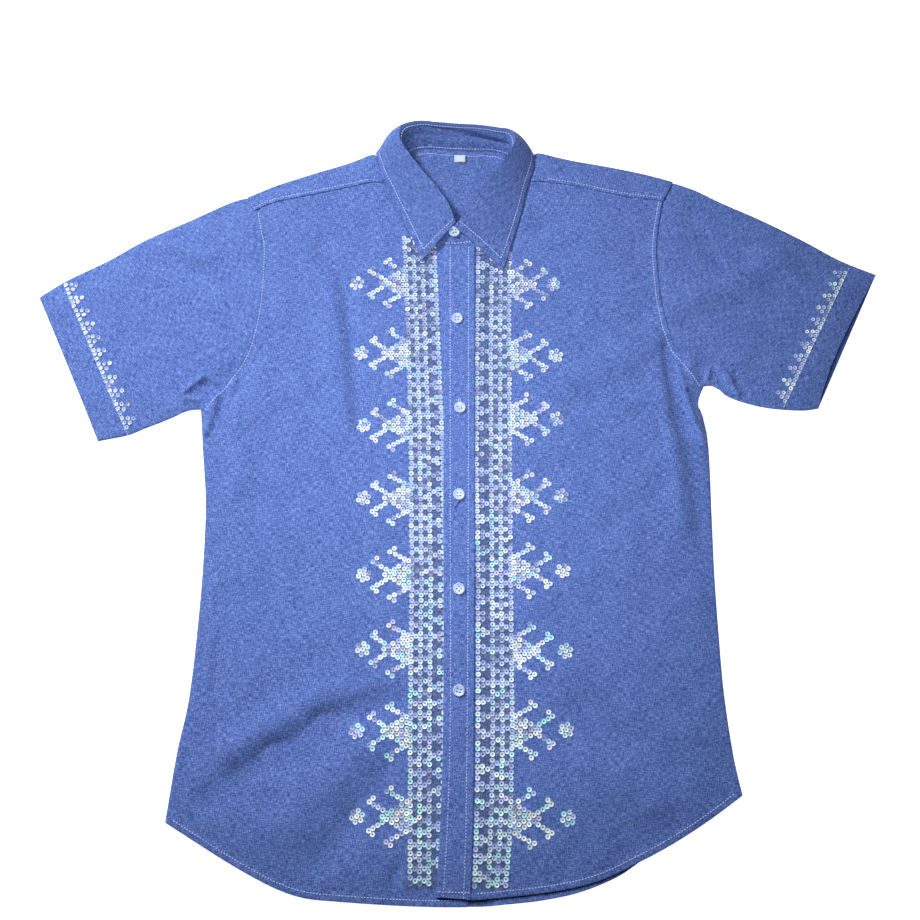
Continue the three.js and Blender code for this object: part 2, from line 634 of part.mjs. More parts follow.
// Where a button lies: on the placket, or on the band and leaning with it.
function buttonPlace(x, y, isOnBand) {
  if (!isOnBand) return new THREE.Matrix4().makeTranslation(x, y, placketHeight(x, y) + CLOTH + SEAM_GAP);
  const { foot, top } = BAND[BAND.length - 2];
  const up = new THREE.Vector3(0, top[1] - foot[1], top[2] - foot[2]).normalize();
  const out = new THREE.Vector3(1, 0, 0).cross(up);
  const base = new THREE.Vector3(x, foot[1], foot[2]).addScaledVector(up, (y - foot[1]) / up.y);
  base.addScaledVector(out, COLLAR_CLOTH / 2 + 2 * SEAM_GAP);
  return new THREE.Matrix4().makeBasis(new THREE.Vector3(1, 0, 0), up, out).setPosition(base);
}

// ---------------------------------------------------------------- the shirt

add("back", back(), clothMaterial());
add("yoke", yoke(), clothMaterial());
add("front_right", frontRight(), clothMaterial());
add("front_left", frontLeft(), clothMaterial());
add("placket", placket(), clothMaterial());
add("sleeve_right", sleeve("right"), clothMaterial());
add("sleeve_left", sleeve("left"), clothMaterial());
add("collar_stand", sheet(BAND_STEPS, bandSurface(), COLLAR_CLOTH), clothMaterial());
add("collar_leaf", sheet(LEAF_STEPS, leafSurface(), COLLAR_CLOTH), clothMaterial());

for (const [i, { name, x, y }] of BUTTONS.entries()) {
  add(name, button(), matte(BUTTON_COLOUR, 0.35), buttonPlace(x, y, i === 0));
}

add("label", label(), matte(LABEL_COLOUR, 0.8));

export default shirt;
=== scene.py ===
import json
import math

import bpy
import numpy as np
from mathutils import Matrix, Vector

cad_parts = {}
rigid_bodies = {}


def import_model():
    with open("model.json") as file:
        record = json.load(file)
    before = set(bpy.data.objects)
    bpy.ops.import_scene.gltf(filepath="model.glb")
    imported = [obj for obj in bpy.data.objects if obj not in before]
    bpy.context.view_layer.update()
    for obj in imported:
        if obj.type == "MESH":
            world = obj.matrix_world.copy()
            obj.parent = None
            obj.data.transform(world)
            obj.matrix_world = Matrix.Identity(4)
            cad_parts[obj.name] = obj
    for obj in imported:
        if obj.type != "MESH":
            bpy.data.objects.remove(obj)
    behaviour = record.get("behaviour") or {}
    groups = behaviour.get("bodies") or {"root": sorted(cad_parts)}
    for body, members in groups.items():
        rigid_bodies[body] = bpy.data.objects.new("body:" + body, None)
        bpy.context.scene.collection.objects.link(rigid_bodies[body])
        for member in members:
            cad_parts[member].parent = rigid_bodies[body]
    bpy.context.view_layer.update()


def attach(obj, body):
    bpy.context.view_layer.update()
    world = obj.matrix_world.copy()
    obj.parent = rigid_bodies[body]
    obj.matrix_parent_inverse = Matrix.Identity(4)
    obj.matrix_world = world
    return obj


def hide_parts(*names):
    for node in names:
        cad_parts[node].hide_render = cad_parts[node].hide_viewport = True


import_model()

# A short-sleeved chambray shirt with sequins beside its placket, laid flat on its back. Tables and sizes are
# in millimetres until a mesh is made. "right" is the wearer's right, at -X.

MM = 0.001

# ---------------------------------------------------------------- driving sizes, as the solids have them

CLOTH = 1.2  # wall of a solid panel
SEAM_GAP = 0.3
OVERLAP_GAP = 0.8
LOFT = 2.4
LOFT_REACH = 45
MIDDLE_LOFT = 2.0
MIDDLE_HALF_WIDTH = 24
MIDDLE_BLEND = 30
OVERLAP_EDGE = 18
OVERLAP_BLEND = 18
PLACKET_GAP = 0.5
RISE_HEIGHT, RISE_START, RISE_END, RISE_HALF_WIDTH, RISE_BLEND = 4.5, 284, 345, 86, 45

# ---------------------------------------------------------------- sizes of the sewing

PLY = 0.5  # a shell of cloth
COLLAR_PLY = 1.1
FOLD_RADIUS = 2.2  # of a folded edge
HEM = 6.2  # depth of the narrow hem
CUFF_HEM = 25
TUCK = 2.5  # how far one panel runs on under the next at a seam
SPRING = 0.6  # the cloth springs up this much more than the solids' loft
FOLD_GAIN = 1.35  # and its folds are this many times as high as their table gives
STITCH = {"pitch": 2.9, "length": 2.15, "radius": 0.44}
ARMHOLE_STITCH = 4.0  # from the seam
STITCH_DIP = 0.9  # half width of the line that a row of stitches draws down
WAVE_GAIN, MIDDLE_WAVE_GAIN = 1.4, 0.3  # of the cloth's unevenness, on the loft and beside the placket
SOFT_FLOOR = 0.4  # rounds the loft off where a fold would take it below nothing
CREST_SHIFT = 0.7  # from a fold's crest to the steepest place on its side, in half widths
CREASE_EASE = 4  # the underarm creases have their full height this far in from the rim
SEQUIN_PITCH = 5.25

# ---------------------------------------------------------------- outline in plan

OUTLINE = {
    "right": {
        "hem": [(-272, -345), (-245, -361), (-216, -378), (-188, -393), (-164, -404), (-140, -411),
                (-109, -414), (-62, -417), (-20, -418.5), (8, -418.5)],
        "side": [(-272, -345), (-265, -285), (-256, -230), (-251, -145), (-250, -86), (-251, -41),
                 (-256, 4), (-261, 52)],
        "armhole": [(-261, 52), (-243, 73), (-223, 102), (-214, 126), (-208, 165), (-207, 221), (-211, 245),
                    (-216, 268)],
        "yoke_seam": [(-216, 268), (-196, 278), (-156, 287), (-116, 296), (-89, 301)],
        "shoulder": [(-224, 286), (-197, 298.5), (-171, 308), (-143, 317.5), (-113, 327), (-91, 334)],
        "sleeve_top": [(-224, 286), (-242, 280), (-282, 260), (-329, 237), (-366, 214), (-407, 192),
                       (-434.5, 173)],
        "underarm": [(-261, 52), (-269, 51.5), (-278, 49), (-291, 42.5), (-316, 32), (-333, 25), (-362, 19)],
        "front_edge": [(8, -418.5), (10, -340), (12, -235), (13.5, -41), (14, 228)],
    },
    "left": {
        "hem": [(-19.5, -409.5), (11, -412), (44, -410), (91, -404.5), (128, -396), (162, -381.5),
                (197, -364), (232, -343), (264, -321)],
        "side": [(264, -321), (257.5, -285), (252, -230), (250, -174), (249, -116), (249.5, -56), (250, 8),
                 (246, 40), (242, 58), (249, 76)],
        "armhole": [(249, 76), (243, 85), (226, 109), (218, 123), (210, 153), (206.5, 191), (206.5, 233),
                    (215, 280)],
        "yoke_seam": [(215, 280), (190, 283), (161, 288), (136, 294), (110, 299), (82, 302)],
        "shoulder": [(227.5, 304), (199, 312.5), (157, 322), (105, 331.5), (82, 335)],
        "sleeve_top": [(227.5, 304), (251, 294), (277, 280), (318, 260), (360, 237), (398, 214), (434, 198)],
        "underarm": [(249, 76), (256, 77), (265, 72), (270, 67), (283, 61), (304, 55), (325, 52), (348, 51),
                     (363, 53)],
        "front_edge": [(-19.5, -409.5), (-15.5, -340), (-13.3, -235), (-13.9, -41), (-14.5, 228)],
    },
}
BACK_HEM = [(-272, -345), (-245, -359), (-188, -390), (-140, -408), (-62, -415), (10, -418.5), (44, -416.5),
            (77, -413), (111, -406), (145, -393), (171, -377), (232, -342), (264, -321)]
FREE_EDGE = [(-21, -409.5), (-17, -340), (-14.8, -235), (-15.4, -41), (-16, 227)]
SEWN_EDGE = [(11, -411.5), (13.5, -340), (14.8, -235), (16, -41), (16.8, 227)]
CUFF_DRAW = {"right": 0.5, "left": 5.5}
COLLAR_BEND = {"right": (-84, 325), "left": (77, 323)}  # where each shoulder fold passes under the collar

# ---------------------------------------------------------------- folds

# From, to, height and half width. The line is where a fold's shade or light is seen.

FOLDS = [
    ((-341, 228), (-266, 199), -1.6, 13), ((-332, 246), (-262, 216), 1.6, 13),
    ((-290, 247), (-241, 191), -1.2, 12), ((-262, 70), (-229, 100), -2.2, 10),
    ((-257, 33), (-229, 82), -2.0, 9), ((-241, 61), (-241, -20), -1.6, 8),
    ((-228, 55), (-226, -30), 1.8, 12), ((-145, 228), (-120, 183), -1.4, 10),
    ((-120, 183), (-102, 33), -1.5, 11), ((-138, 165), (-124, 30), 1.4, 13),
    ((-234, -133), (-226, -228), -1.8, 10), ((-240, -319), (-180, -278), -3.2, 13),
    ((-180, -278), (-131, -247), -3.2, 13), ((-131, -247), (-60, -229), -2.2, 12),
    ((-215, -268), (-122, -218), 3.0, 17), ((-139, -378), (-67, -283), -1.6, 14),
    ((-175, -345), (-95, -270), 2.0, 18), ((78, 251), (114, 267), -1.2, 9),
    ((76, 147), (199, 147), -0.8, 18), ((115, 61), (184, 90), -1.4, 12), ((110, 90), (213, 133), 1.6, 14),
    ((114, -241), (246, -306), -1.4, 20), ((148, -366), (242, -319), -1.6, 13),
    ((130, -300), (225, -340), 1.8, 18), ((212, 111), (222, 33), -2.2, 9), ((222, 33), (236, -75), -2.0, 9),
    ((236, -75), (245, -150), -1.4, 9), ((205, 60), (214, -60), 2.0, 13), ((232, 100), (241, 10), 2.2, 8),
    ((214, 161), (328, 221), 2.2, 14), ((245, 236), (301, 228), -1.4, 10), ((219, 125), (284, 69), -1.8, 12),
]

# Smaller creases, too fine for the solids.
CREASES = [
    ((-205, 232), (-168, 214), -0.5, 5), ((-203, 205), (-172, 196), 0.4, 6),
    ((-236, 118), (-262, 100), -0.6, 5), ((-222, 70), (-196, 30), -0.6, 5),
    ((-214, 40), (-206, -14), 0.5, 6), ((-246, 20), (-240, -46), -0.5, 4),
    ((-170, -300), (-120, -262), -0.7, 6), ((-205, -300), (-170, -282), 0.6, 5),
    ((-110, -236), (-78, -226), -0.6, 5), ((-122, -362), (-96, -325), -0.6, 6),
    ((-66, -404), (-58, -382), -0.9, 5), ((-84, -405), (-78, -390), 0.6, 5),
    ((-240, -300), (-222, -322), 0.6, 6), ((-100, 250), (-90, 214), -0.5, 6),
    ((-74, 240), (-68, 200), 0.4, 6), ((206, 200), (176, 190), -0.5, 5), ((208, 172), (180, 150), -0.5, 5),
    ((214, 128), (190, 104), -0.6, 5), ((198, 40), (206, -30), -0.5, 5), ((228, 60), (240, -40), -0.6, 4),
    ((186, 66), (150, 50), 0.4, 7), ((96, 256), (124, 246), 0.5, 5), ((70, 262), (92, 276), -0.5, 4),
    ((140, -352), (206, -330), -0.6, 7), ((90, -396), (100, -370), -0.6, 6),
    ((206, -352), (222, -330), 0.5, 6), ((240, 92), (252, 60), -0.8, 5), ((250, 120), (280, 92), -0.6, 6),
    ((262, 170), (300, 190), 0.5, 7), ((-262, 120), (-290, 96), -0.5, 6),
    ((-300, 180), (-262, 160), 0.4, 8), ((-320, 90), (-290, 70), -0.4, 7),
    ((-312, 226), (-267, 200), -1.3, 7), ((-246, 191), (-233, 151), -0.6, 3),
    ((-233, -178), (-235, -225), -1.6, 4), ((-242, -178), (-244, -225), 0.9, 6),
    ((-259, -285), (-264, -336), -1.6, 5), ((210, 120), (214, 40), -1.2, 5),
    ((243, 264), (268, 211), -0.9, 8), ((-246, 277), (-221, 283), -1.0, 5),
    ((-145, 228), (-120, 183), -1.0, 5), ((-120, 183), (-102, 33), -1.0, 5),
    ((-134, 180), (-115, 40), 0.7, 6), ((-60, -388), (-62, -404), -1.4, 4),
]

# Creases near the underarms that stand up from the cloth, in the same columns, by the line of their shade.
UNDERARM_CREASES = [
    ((-277, 67), (-258, 83), 4.0, 3.4), ((-258, 83), (-246, 79), 2.4, 3), ((-277, 62), (-263, 60), 2.8, 3),
    ((-253, 24), (-242, 63), 4.2, 4), ((-231, 56), (-225, 81), 3.0, 3.4), ((224, 100), (229, 73), 2.4, 2.6),
    ((229, 73), (236, 42), 3.2, 3.2), ((236, 42), (247, 17), 3.2, 4), ((272, 84), (282, 69), 3.2, 3.4),
    ((265, 96), (277, 83), 2.2, 3.2), ((253, 84), (256, 93), 2.4, 2.4),
]

# ---------------------------------------------------------------- collar, by rows along its band and its leaf

BAND_FOOT = [(13, 229.5, 4.1), (0, 229, 4.1), (-26, 234, 4.6), (-44, 249, 5.0), (-57, 271, 5.6),
             (-63, 299, 6.2), (-62, 320, 7.2), (-54, 336.5, 7.4), (-36, 341.5, 7.2), (-10, 340, 7.2),
             (15, 339, 7.2), (30, 339, 7.2), (43, 337, 7.2), (55, 331, 7.2), (61, 317, 7.0), (62, 300, 6.4),
             (57, 269, 5.6), (45, 249, 5.4), (27, 234, 5.8), (0, 229, 6.4), (-15, 229.5, 6.4)]
BAND_TOP = [(13, 249, 7.8), (-2, 250, 8.6), (-13, 267, 11), (-24, 283, 12.5), (-42, 305, 15.5),
            (-54.5, 323, 19), (-61, 337, 22), (-58.5, 351, 23), (-43, 358, 23), (-21, 357, 22),
            (1, 355.5, 21.5), (19, 354.5, 22), (38, 350.5, 23), (53, 346.5, 23), (57, 336, 22),
            (53.5, 325.5, 20), (46, 310, 17), (33, 289.5, 14), (18, 269, 12.2), (0, 251, 10.6),
            (-13, 247, 10.0)]
BAND_ROWS = len(BAND_FOOT) - 1
RIGHT_SEAM, RIGHT_FOLD, LEFT_FOLD, LEFT_SEAM = 5, 6, 14, 15  # rows where the yoke meets the band
LEAF_ROLL = [(-3.6, 250.5, 15), (-11, 271, 16.5), (-21, 286.5, 17.5), (-39, 309, 19.5), (-53.5, 328, 22.5),
             (-62, 342, 25), (-61, 355.5, 26), (-44, 361.5, 26), (-21, 360.5, 25), (0, 359, 24.5),
             (20, 357.5, 25), (40, 354, 26), (55, 350.5, 26), (59, 340, 26), (55, 330, 25),
             (45, 314.5, 22.5), (30.5, 293.5, 20), (15, 273, 17.5), (-5, 246, 15.6)]
LEAF_BEND = [(-19.2, 234.2, 12), (-32, 256, 12.5), (-42, 275, 13), (-58, 298, 15.5), (-72, 320, 18.5),
             (-80, 340, 20), (-84, 360, 5), (-55, 374, 2), (-24, 374, 1), (0, 373, 1), (23, 372, 1),
             (50, 366, 2), (76, 355, 5), (74, 339, 18), (70, 327, 16.5), (61, 304, 14.5), (50, 280, 13),
             (37, 257, 12.5), (20, 226.8, 11.8)]
LEAF_EDGE = [(-38, 212, 6.9), (-51, 241.5, 6.9), (-61, 263, 6.9), (-71, 286, 7.2), (-82, 311, 8.6),
             (-88, 336, 6.4), (-78, 329, 0.8), (-52, 316, 0.8), (-24, 315, 0.8), (0, 315, 0.8),
             (23, 315, 0.8), (46, 315, 0.8), (69, 326, 0.8), (78.5, 334, 6.4), (79, 317, 8.6),
             (71, 291, 7.2), (66, 268, 6.9), (57, 237, 6.9), (46, 200, 6.9)]
BUTTONS = {"button_1": (-5, 243), "button_2": (-2, 147), "button_3": (1, 52), "button_4": (0, -37),
           "button_5": (0, -130), "button_6": (0, -226)}
LABEL = {"left": -5, "right": 6.5, "bottom": 325, "top": 332.5}

# ---------------------------------------------------------------- sequin charts

# Centres of a band's outermost and innermost columns, as (y, x).
BAND_COLUMNS = {
    "right": {"outer": [(237, -57.4), (148, -52.4), (35, -48.6), (-116, -45.5), (-263, -45.8),
                        (-402.5, -44.3)],
              "inner": [(237, -26.5), (148, -22.6), (35, -17.5), (-116, -13.8), (-263, -14), (-402.5, -14.8)]},
    "left": {"outer": [(225, 52.8), (115, 50.7), (-2, 50.6), (-112, 50), (-263, 50), (-341, 47.5),
                       (-392, 43.5), (-402.5, 42.5)],
             "inner": [(225, 20), (115, 18.5), (-2, 17.4), (-112, 18.6), (-263, 18), (-341, 16.5),
                       (-392, 14.5), (-402.5, 14)]},
}
ROSETTES = {
    "right": [(-105.9, 187.3), (-99.6, 110.8), (-95.5, 34.6), (-94, -40.3), (-92.5, -115.7),
              (-91.9, -186.9), (-96, -263.1), (-94.4, -339.5)],
    "left": [(97.5, 185.8), (98.3, 107.8), (97.6, 40.8), (100.9, -38), (101, -111.8), (101.5, -188.8),
             (100.8, -262), (100.8, -341.2)],
}
# Shares of a band's width, outward from the placket, and its three repeats in rows.
FULL_COLUMNS = (0, 0.43, 0.715, 1)
SINGLE_COLUMNS = (0.572, 0.857)
CLUSTER = [(0.145, 0), (0.145, 1), (0.29, 0.5)]
# Arms of a motif, as (outward, up) in pitches from its tip or from a corner of its base.
MOTIF_BASE = 6
TIP_ARM = [(-0.1, 1.03), (0.67, 1.52), (1.48, 1.98), (2.28, 2.42), (1.62, 3.05)]
BASE_ARM = [(0.8, 0.42), (1.68, 0.85), (2.52, 1.27), (3.48, 1.70), (2.70, 2.32)]
BORDERS = {"right": ((-413.0, 192.7), (-332, 24.5)), "left": ((406.4, 205.1), (326.7, 52.3))}
HEM_SPAN = {"right": (0.02, 0.985), "left": (0.118, 0.98)}  # the shares of a line that are stitched
BORDER_SPAN = {"right": (0.0, 1.0), "left": (-0.02, 0.99)}
PEAKS = 11


# ---------------------------------------------------------------- curves

def smooth(share):
    share = np.clip(share, 0, 1)
    return share * share * (3 - 2 * share)


def bell(distance, width):
    """From 1 on a line down to nothing, with most of the fall within a width of it."""
    return np.exp(-(distance / width) ** 2)


def unit(vectors):
    return vectors / np.linalg.norm(vectors, axis=-1, keepdims=True)


def lifted(places, z):
    """Places in plan with their heights."""
    return np.concatenate([places, z[..., None]], axis=-1)


def on_height(places, height):
    return lifted(places, height(places))


def catmull(points, rows, power=0.0):
    """Places on a Catmull-Rom line through the points, by row. Power 0.5 spaces it by their gaps."""
    points = np.array(points, float)
    if power:
        first, last = 2 * points[0] - points[1], 2 * points[-1] - points[-2]
    else:
        first, last = points[0], points[-1]
    padded = np.vstack([first, points, last])
    row = np.clip(np.floor(rows).astype(int), 0, len(points) - 2)
    share = (np.asarray(rows, float) - row)[:, None]
    before, start, end, after = (padded[row + k] for k in range(4))
    gaps = [np.linalg.norm(b - a, axis=1, keepdims=True) ** power if power else 1.0
            for a, b in ((before, start), (start, end), (end, after))]
    leaving = (start - before) / gaps[0] - (end - before) / (gaps[0] + gaps[1]) + (end - start) / gaps[1]
    arriving = (end - start) / gaps[1] - (after - start) / (gaps[1] + gaps[2]) + (after - end) / gaps[2]
    leaving, arriving = leaving * gaps[1], arriving * gaps[1]
    cubic = 2 * start - 2 * end + leaving + arriving
    square = -3 * start + 3 * end - 2 * leaving - arriving
    return ((cubic * share + square) * share + leaving) * share + start


def run_of(line):
    """How far along a line each of its points lies."""
    return np.concatenate([[0], np.cumsum(np.linalg.norm(np.diff(line, axis=0), axis=1))])


def at_runs(runs, run, line):
    """What a line has at given lengths along it."""
    return np.stack([np.interp(runs, run, line[:, k]) for k in range(line.shape[1])], axis=-1)


def by_length(line):
    """A function from 0..1 to places along a line of points, evenly by length."""
    run = run_of(line)
    return lambda t: at_runs(np.asarray(t) * run[-1], run, line)


def edge(points):
    return by_length(catmull(points, np.linspace(0, len(points) - 1, 60 * len(points))))


def straight(start, end):
    return by_length(np.array([start, end], float))


def reverse(line):
    return lambda t: line(1 - np.asarray(t))


def shift(line, dx, dy):
    return lambda t: line(t) + np.array([dx, dy])


def chain(first, second, share):
    """Two lines end to end, the first on the given share of 0..1."""
    def line(t):
        t = np.asarray(t, float)
        late = second(np.clip((t - share) / (1 - share), 0, 1))
        return np.where((t <= share)[..., None], first(np.clip(t / share, 0, 1)), late)
    return line


def patch(near, far, left, right, u, v):
    """Places of a grid between four edges: u runs along near and far, v along left and right."""
    across, up = u[:, None, None], v[None, :, None]
    (left_0, left_1), (right_0, right_1) = left(np.array([0.0, 1.0])), right(np.array([0.0, 1.0]))
    places = near(u)[:, None] * (1 - up) + far(u)[:, None] * up
    places = places + (1 - across) * (left(v)[None] - left_0 * (1 - up) - left_1 * up)
    return places + across * (right(v)[None] - right_0 * (1 - up) - right_1 * up)


def steps(count, length, fine_start=False, fine_end=False):
    """Even shares of a length, with close ones beside a folded or free edge."""
    close = np.array([0.35, 0.9, 1.7, 3.0]) / length
    clear = 1.4 * close[-1]
    shares = np.linspace(0, 1, count + 1)
    if fine_start:
        shares = np.concatenate([[0], close, shares[shares > clear]])
    if fine_end:
        shares = np.concatenate([shares[shares < 1 - clear], 1 - close[::-1], [1]])
    return shares


def joined(first, second, share):
    """Shares for a chain: the first's on the given share, then the second's."""
    return np.concatenate([first * share, share + second[1:] * (1 - share)])


def nearest(places, line):
    """Distance of each place from a line of points, and how far along it the nearest point lies."""
    start, step = line[:-1], np.diff(line, axis=0)
    lengths = np.maximum(np.linalg.norm(step, axis=1), 1e-9)
    run = run_of(line)
    flat = places.reshape(-1, 2)
    distance, along = np.empty(len(flat)), np.empty(len(flat))
    batch = 4096
    for first in range(0, len(flat), batch):
        some = flat[first:first + batch, None, :] - start
        share = np.clip((some * step).sum(-1) / lengths ** 2, 0, 1)
        gap = np.linalg.norm(some - share[..., None] * step, axis=-1)
        best = gap.argmin(1)
        rows = np.arange(len(best))
        distance[first:first + batch] = gap[rows, best]
        along[first:first + batch] = run[best] + share[rows, best] * lengths[best]
    return distance.reshape(places.shape[:-1]), along.reshape(places.shape[:-1])


SIDES = {name: {key: edge(points) for key, points in lines.items()} for name, lines in OUTLINE.items()}
LINE_POINTS = np.linspace(0, 1, 61)


def points_of(name, key):
    return SIDES[name][key](LINE_POINTS)


def cuff_line(name):
    return straight(SIDES[name]["underarm"](1.0), SIDES[name]["sleeve_top"](1.0))


RIM_LINES = ("hem", "side", "shoulder", "sleeve_top", "underarm")
RIM = [points_of(name, key) for name in SIDES for key in RIM_LINES]
RIM += [cuff_line(name)(LINE_POINTS) for name in SIDES]


# ---------------------------------------------------------------- heights

def floor_height(places):
    """Height of what the lower layer lies on: flat, but for the rise over the collar."""
    x, y = places[..., 0], places[..., 1]
    up = smooth((y - RISE_START) / (RISE_END - RISE_START))
    return RISE_HEIGHT * up * smooth((RISE_HALF_WIDTH + RISE_BLEND - np.abs(x)) / RISE_BLEND)


LIGHT_SIDE = np.array([-0.7, 0.71])  # the side that the light comes from
# Radians a millimetre across and up, phase, and height.
WAVES = [(0.062, 0.021, 0.5, 0.20), (-0.034, 0.071, 2.1, 0.20), (0.105, 0.088, 4.4, 0.11),
         (0.094, -0.121, 1.2, 0.10), (0.019, 0.149, 5.3, 0.07), (-0.171, 0.043, 3.0, 0.07),
         (0.21, 0.17, 0.2, 0.045), (-0.16, 0.26, 2.7, 0.04)]


def waves(places):
    """The gentle unevenness of cloth that was ironed and laid down."""
    x, y = places[..., 0], places[..., 1]
    total = np.zeros(x.shape)
    for across, up, phase, height in WAVES:
        bend = 0.9 * np.sin(0.013 * x - 0.017 * y + 3 * phase)
        total += height * np.sin(across * x + up * y + phase + bend)
    return total


def crest(start, end, width):
    """A fold's own line, from the one in the tables, which is where its steepest side is seen dark or light.
    A negative width moves the line the other way."""
    line = np.array([start, end], float)
    along = (line[1] - line[0]) / np.linalg.norm(line[1] - line[0])
    across = np.array([-along[1], along[0]])
    return line - CREST_SHIFT * width * (across @ LIGHT_SIDE) * across


def upper_height(places):
    """Height of the upper layer's outer face."""
    x = places[..., 0]
    from_rim = np.minimum.reduce([nearest(places, line)[0] for line in RIM])
    ease = 1 - (1 - np.clip(from_rim / LOFT_REACH, 0, 1)) ** 2
    folded = LOFT + SPRING + WAVE_GAIN * waves(places)
    for start, end, height, width in FOLDS + CREASES:
        distance = nearest(places, crest(start, end, width))[0]
        folded = folded + FOLD_GAIN * height * bell(distance, width)
    folded = 0.5 * (folded + np.sqrt(folded ** 2 + SOFT_FLOOR))
    away = smooth((np.abs(x) - MIDDLE_HALF_WIDTH) / MIDDLE_BLEND)
    loft = MIDDLE_LOFT + MIDDLE_WAVE_GAIN * waves(places) + away * (folded - MIDDLE_LOFT)
    raised = 0
    for start, end, height, width in UNDERARM_CREASES:
        distance = nearest(places, crest(start, end, -width))[0]
        raised = raised + height * bell(distance, width)
    raised = raised * smooth(from_rim / CREASE_EASE)
    return floor_height(places) + CLOTH + SEAM_GAP + ease * loft + raised + CLOTH


def overlap_rise(places):
    """How far the left front rides up over the right one at the placket."""
    return (CLOTH + OVERLAP_GAP) * smooth((OVERLAP_EDGE + OVERLAP_BLEND - places[..., 0]) / OVERLAP_BLEND)


def placket_height(places):
    held = np.stack([np.minimum(places[..., 0], OVERLAP_EDGE), places[..., 1]], axis=-1)
    return upper_height(held) + overlap_rise(held) + PLACKET_GAP + CLOTH


def round_over(distance, radius=FOLD_RADIUS):
    """From 1 on a folded edge down to 0 a radius inside it, round like a fold."""
    return 1 - np.sqrt(1 - (1 - np.clip(distance / radius, 0, 1)) ** 2)


def puckers(distance, along, reach, pitch, height):
    """Ripples across a seam, uneven along it and fading away from it."""
    turn = 2 * math.pi / pitch
    ripple = 0.6 * np.sin(turn * along + 1.7 * np.sin(turn * along / 4.3))
    ripple += 0.4 * np.sin(1.62 * turn * along + 1.1 * np.sin(turn * along / 3.1))
    return height * ripple * bell(distance, reach)


def hem_relief(distance, along):
    """The turned hem: a second ply, drawn down by its stitches and rippled by them."""
    ply = 0.6 * smooth((HEM + 1 - distance) / 1.4)
    drawn = -0.45 * bell(distance - HEM + 0.7, STITCH_DIP)
    return ply + drawn + puckers(distance - 0.5 * HEM, along, 8, 13, 0.32) - 0.4 * round_over(distance, 0.8)


def seam_relief(distance, along):
    """A seam whose turnings are pressed to this side and stitched down."""
    ply = 0.75 * smooth((ARMHOLE_STITCH + 2.5 - distance) / 2.5)
    drawn = -0.55 * bell(distance - ARMHOLE_STITCH, STITCH_DIP)
    return ply + drawn + puckers(distance, along, 8, 11, 0.4) - 0.45 * round_over(distance, 0.8)


LEAF_PRESS = {"right": np.array([LEAF_ROLL[0][:2]] + [row[:2] for row in LEAF_EDGE[:6]], float),
              "left": np.array([LEAF_ROLL[-1][:2]] + [row[:2] for row in LEAF_EDGE[:-7:-1]], float)}


def pressed(places, name):
    """A narrow dip in the cloth along the edge of the collar's leaf."""
    distance = nearest(places, catmull(LEAF_PRESS[name], np.linspace(1, 6, 60)))[0]
    front = nearest(places, LEAF_PRESS[name][:2])[0]
    return 1.2 * bell(np.minimum(distance, front), 1.5)


def front_height(name):
    """Outer face of a front, with its hem, its seams and the fold at its side."""
    def height(places):
        z = upper_height(places)
        if name == "left":
            z = z + overlap_rise(places)
        hem, hem_run = nearest(places, points_of(name, "hem"))
        armhole, armhole_run = nearest(places, points_of(name, "armhole"))
        yoke, yoke_run = nearest(places, points_of(name, "yoke_seam"))
        z = z + hem_relief(hem, hem_run) + seam_relief(armhole, armhole_run)
        z = z + puckers(yoke, yoke_run, 9, 12, 0.25)
        strip, strip_run = nearest(places, edge(FREE_EDGE if name == "right" else SEWN_EDGE)(LINE_POINTS))
        z = z + puckers(strip, strip_run, 7, 16, 0.18)
        side = nearest(places, points_of(name, "side"))[0]
        z = z - pressed(places, name)
        return z - (z - PLY) * round_over(side)
    return height


# ---------------------------------------------------------------- meshes

def grid_normals(points, ring):
    if ring:
        along = np.roll(points, -1, 1) - np.roll(points, 1, 1)
    else:
        along = np.gradient(points, axis=1)
    normal = np.cross(np.gradient(points, axis=0), along)
    return normal / np.maximum(np.linalg.norm(normal, axis=-1, keepdims=True), 1e-9)


def shell(points, thickness, proud=0.0, ring=False, thin=0.0, grain=None):
    """A closed shell on a grid of points. The outer face stands proud of them, and thin takes a little off
    both faces towards an edge. With ring set, the second way round closes."""
    normal = grid_normals(points, ring)
    thin = np.broadcast_to(thin, points.shape[:2])[..., None]
    outer = points + normal * (proud - thin)
    inner = points + normal * (proud - thickness + thin)
    rows, columns = points.shape[:2]
    at = np.arange(rows * columns).reshape(rows, columns)
    if ring:
        at = np.hstack([at, at[:, :1]])
    below = at + rows * columns
    quads = [np.stack([at[:-1, :-1], at[1:, :-1], at[1:, 1:], at[:-1, 1:]], -1),
             np.stack([below[:-1, :-1], below[:-1, 1:], below[1:, 1:], below[1:, :-1]], -1),
             np.stack([at[0, :-1], at[0, 1:], below[0, 1:], below[0, :-1]], -1),
             np.stack([at[-1, 1:], at[-1, :-1], below[-1, :-1], below[-1, 1:]], -1)]
    if not ring:
        quads.append(np.stack([at[1:, 0], at[:-1, 0], below[:-1, 0], below[1:, 0]], -1))
        quads.append(np.stack([at[:-1, -1], at[1:, -1], below[1:, -1], below[:-1, -1]], -1))
    vertices = np.concatenate([outer.reshape(-1, 3), inner.reshape(-1, 3)])
    if grain is None:
        grain = points[..., :2]
    return vertices, np.concatenate([q.reshape(-1, 4) for q in quads]), np.tile(grain.reshape(-1, 2), (2, 1))


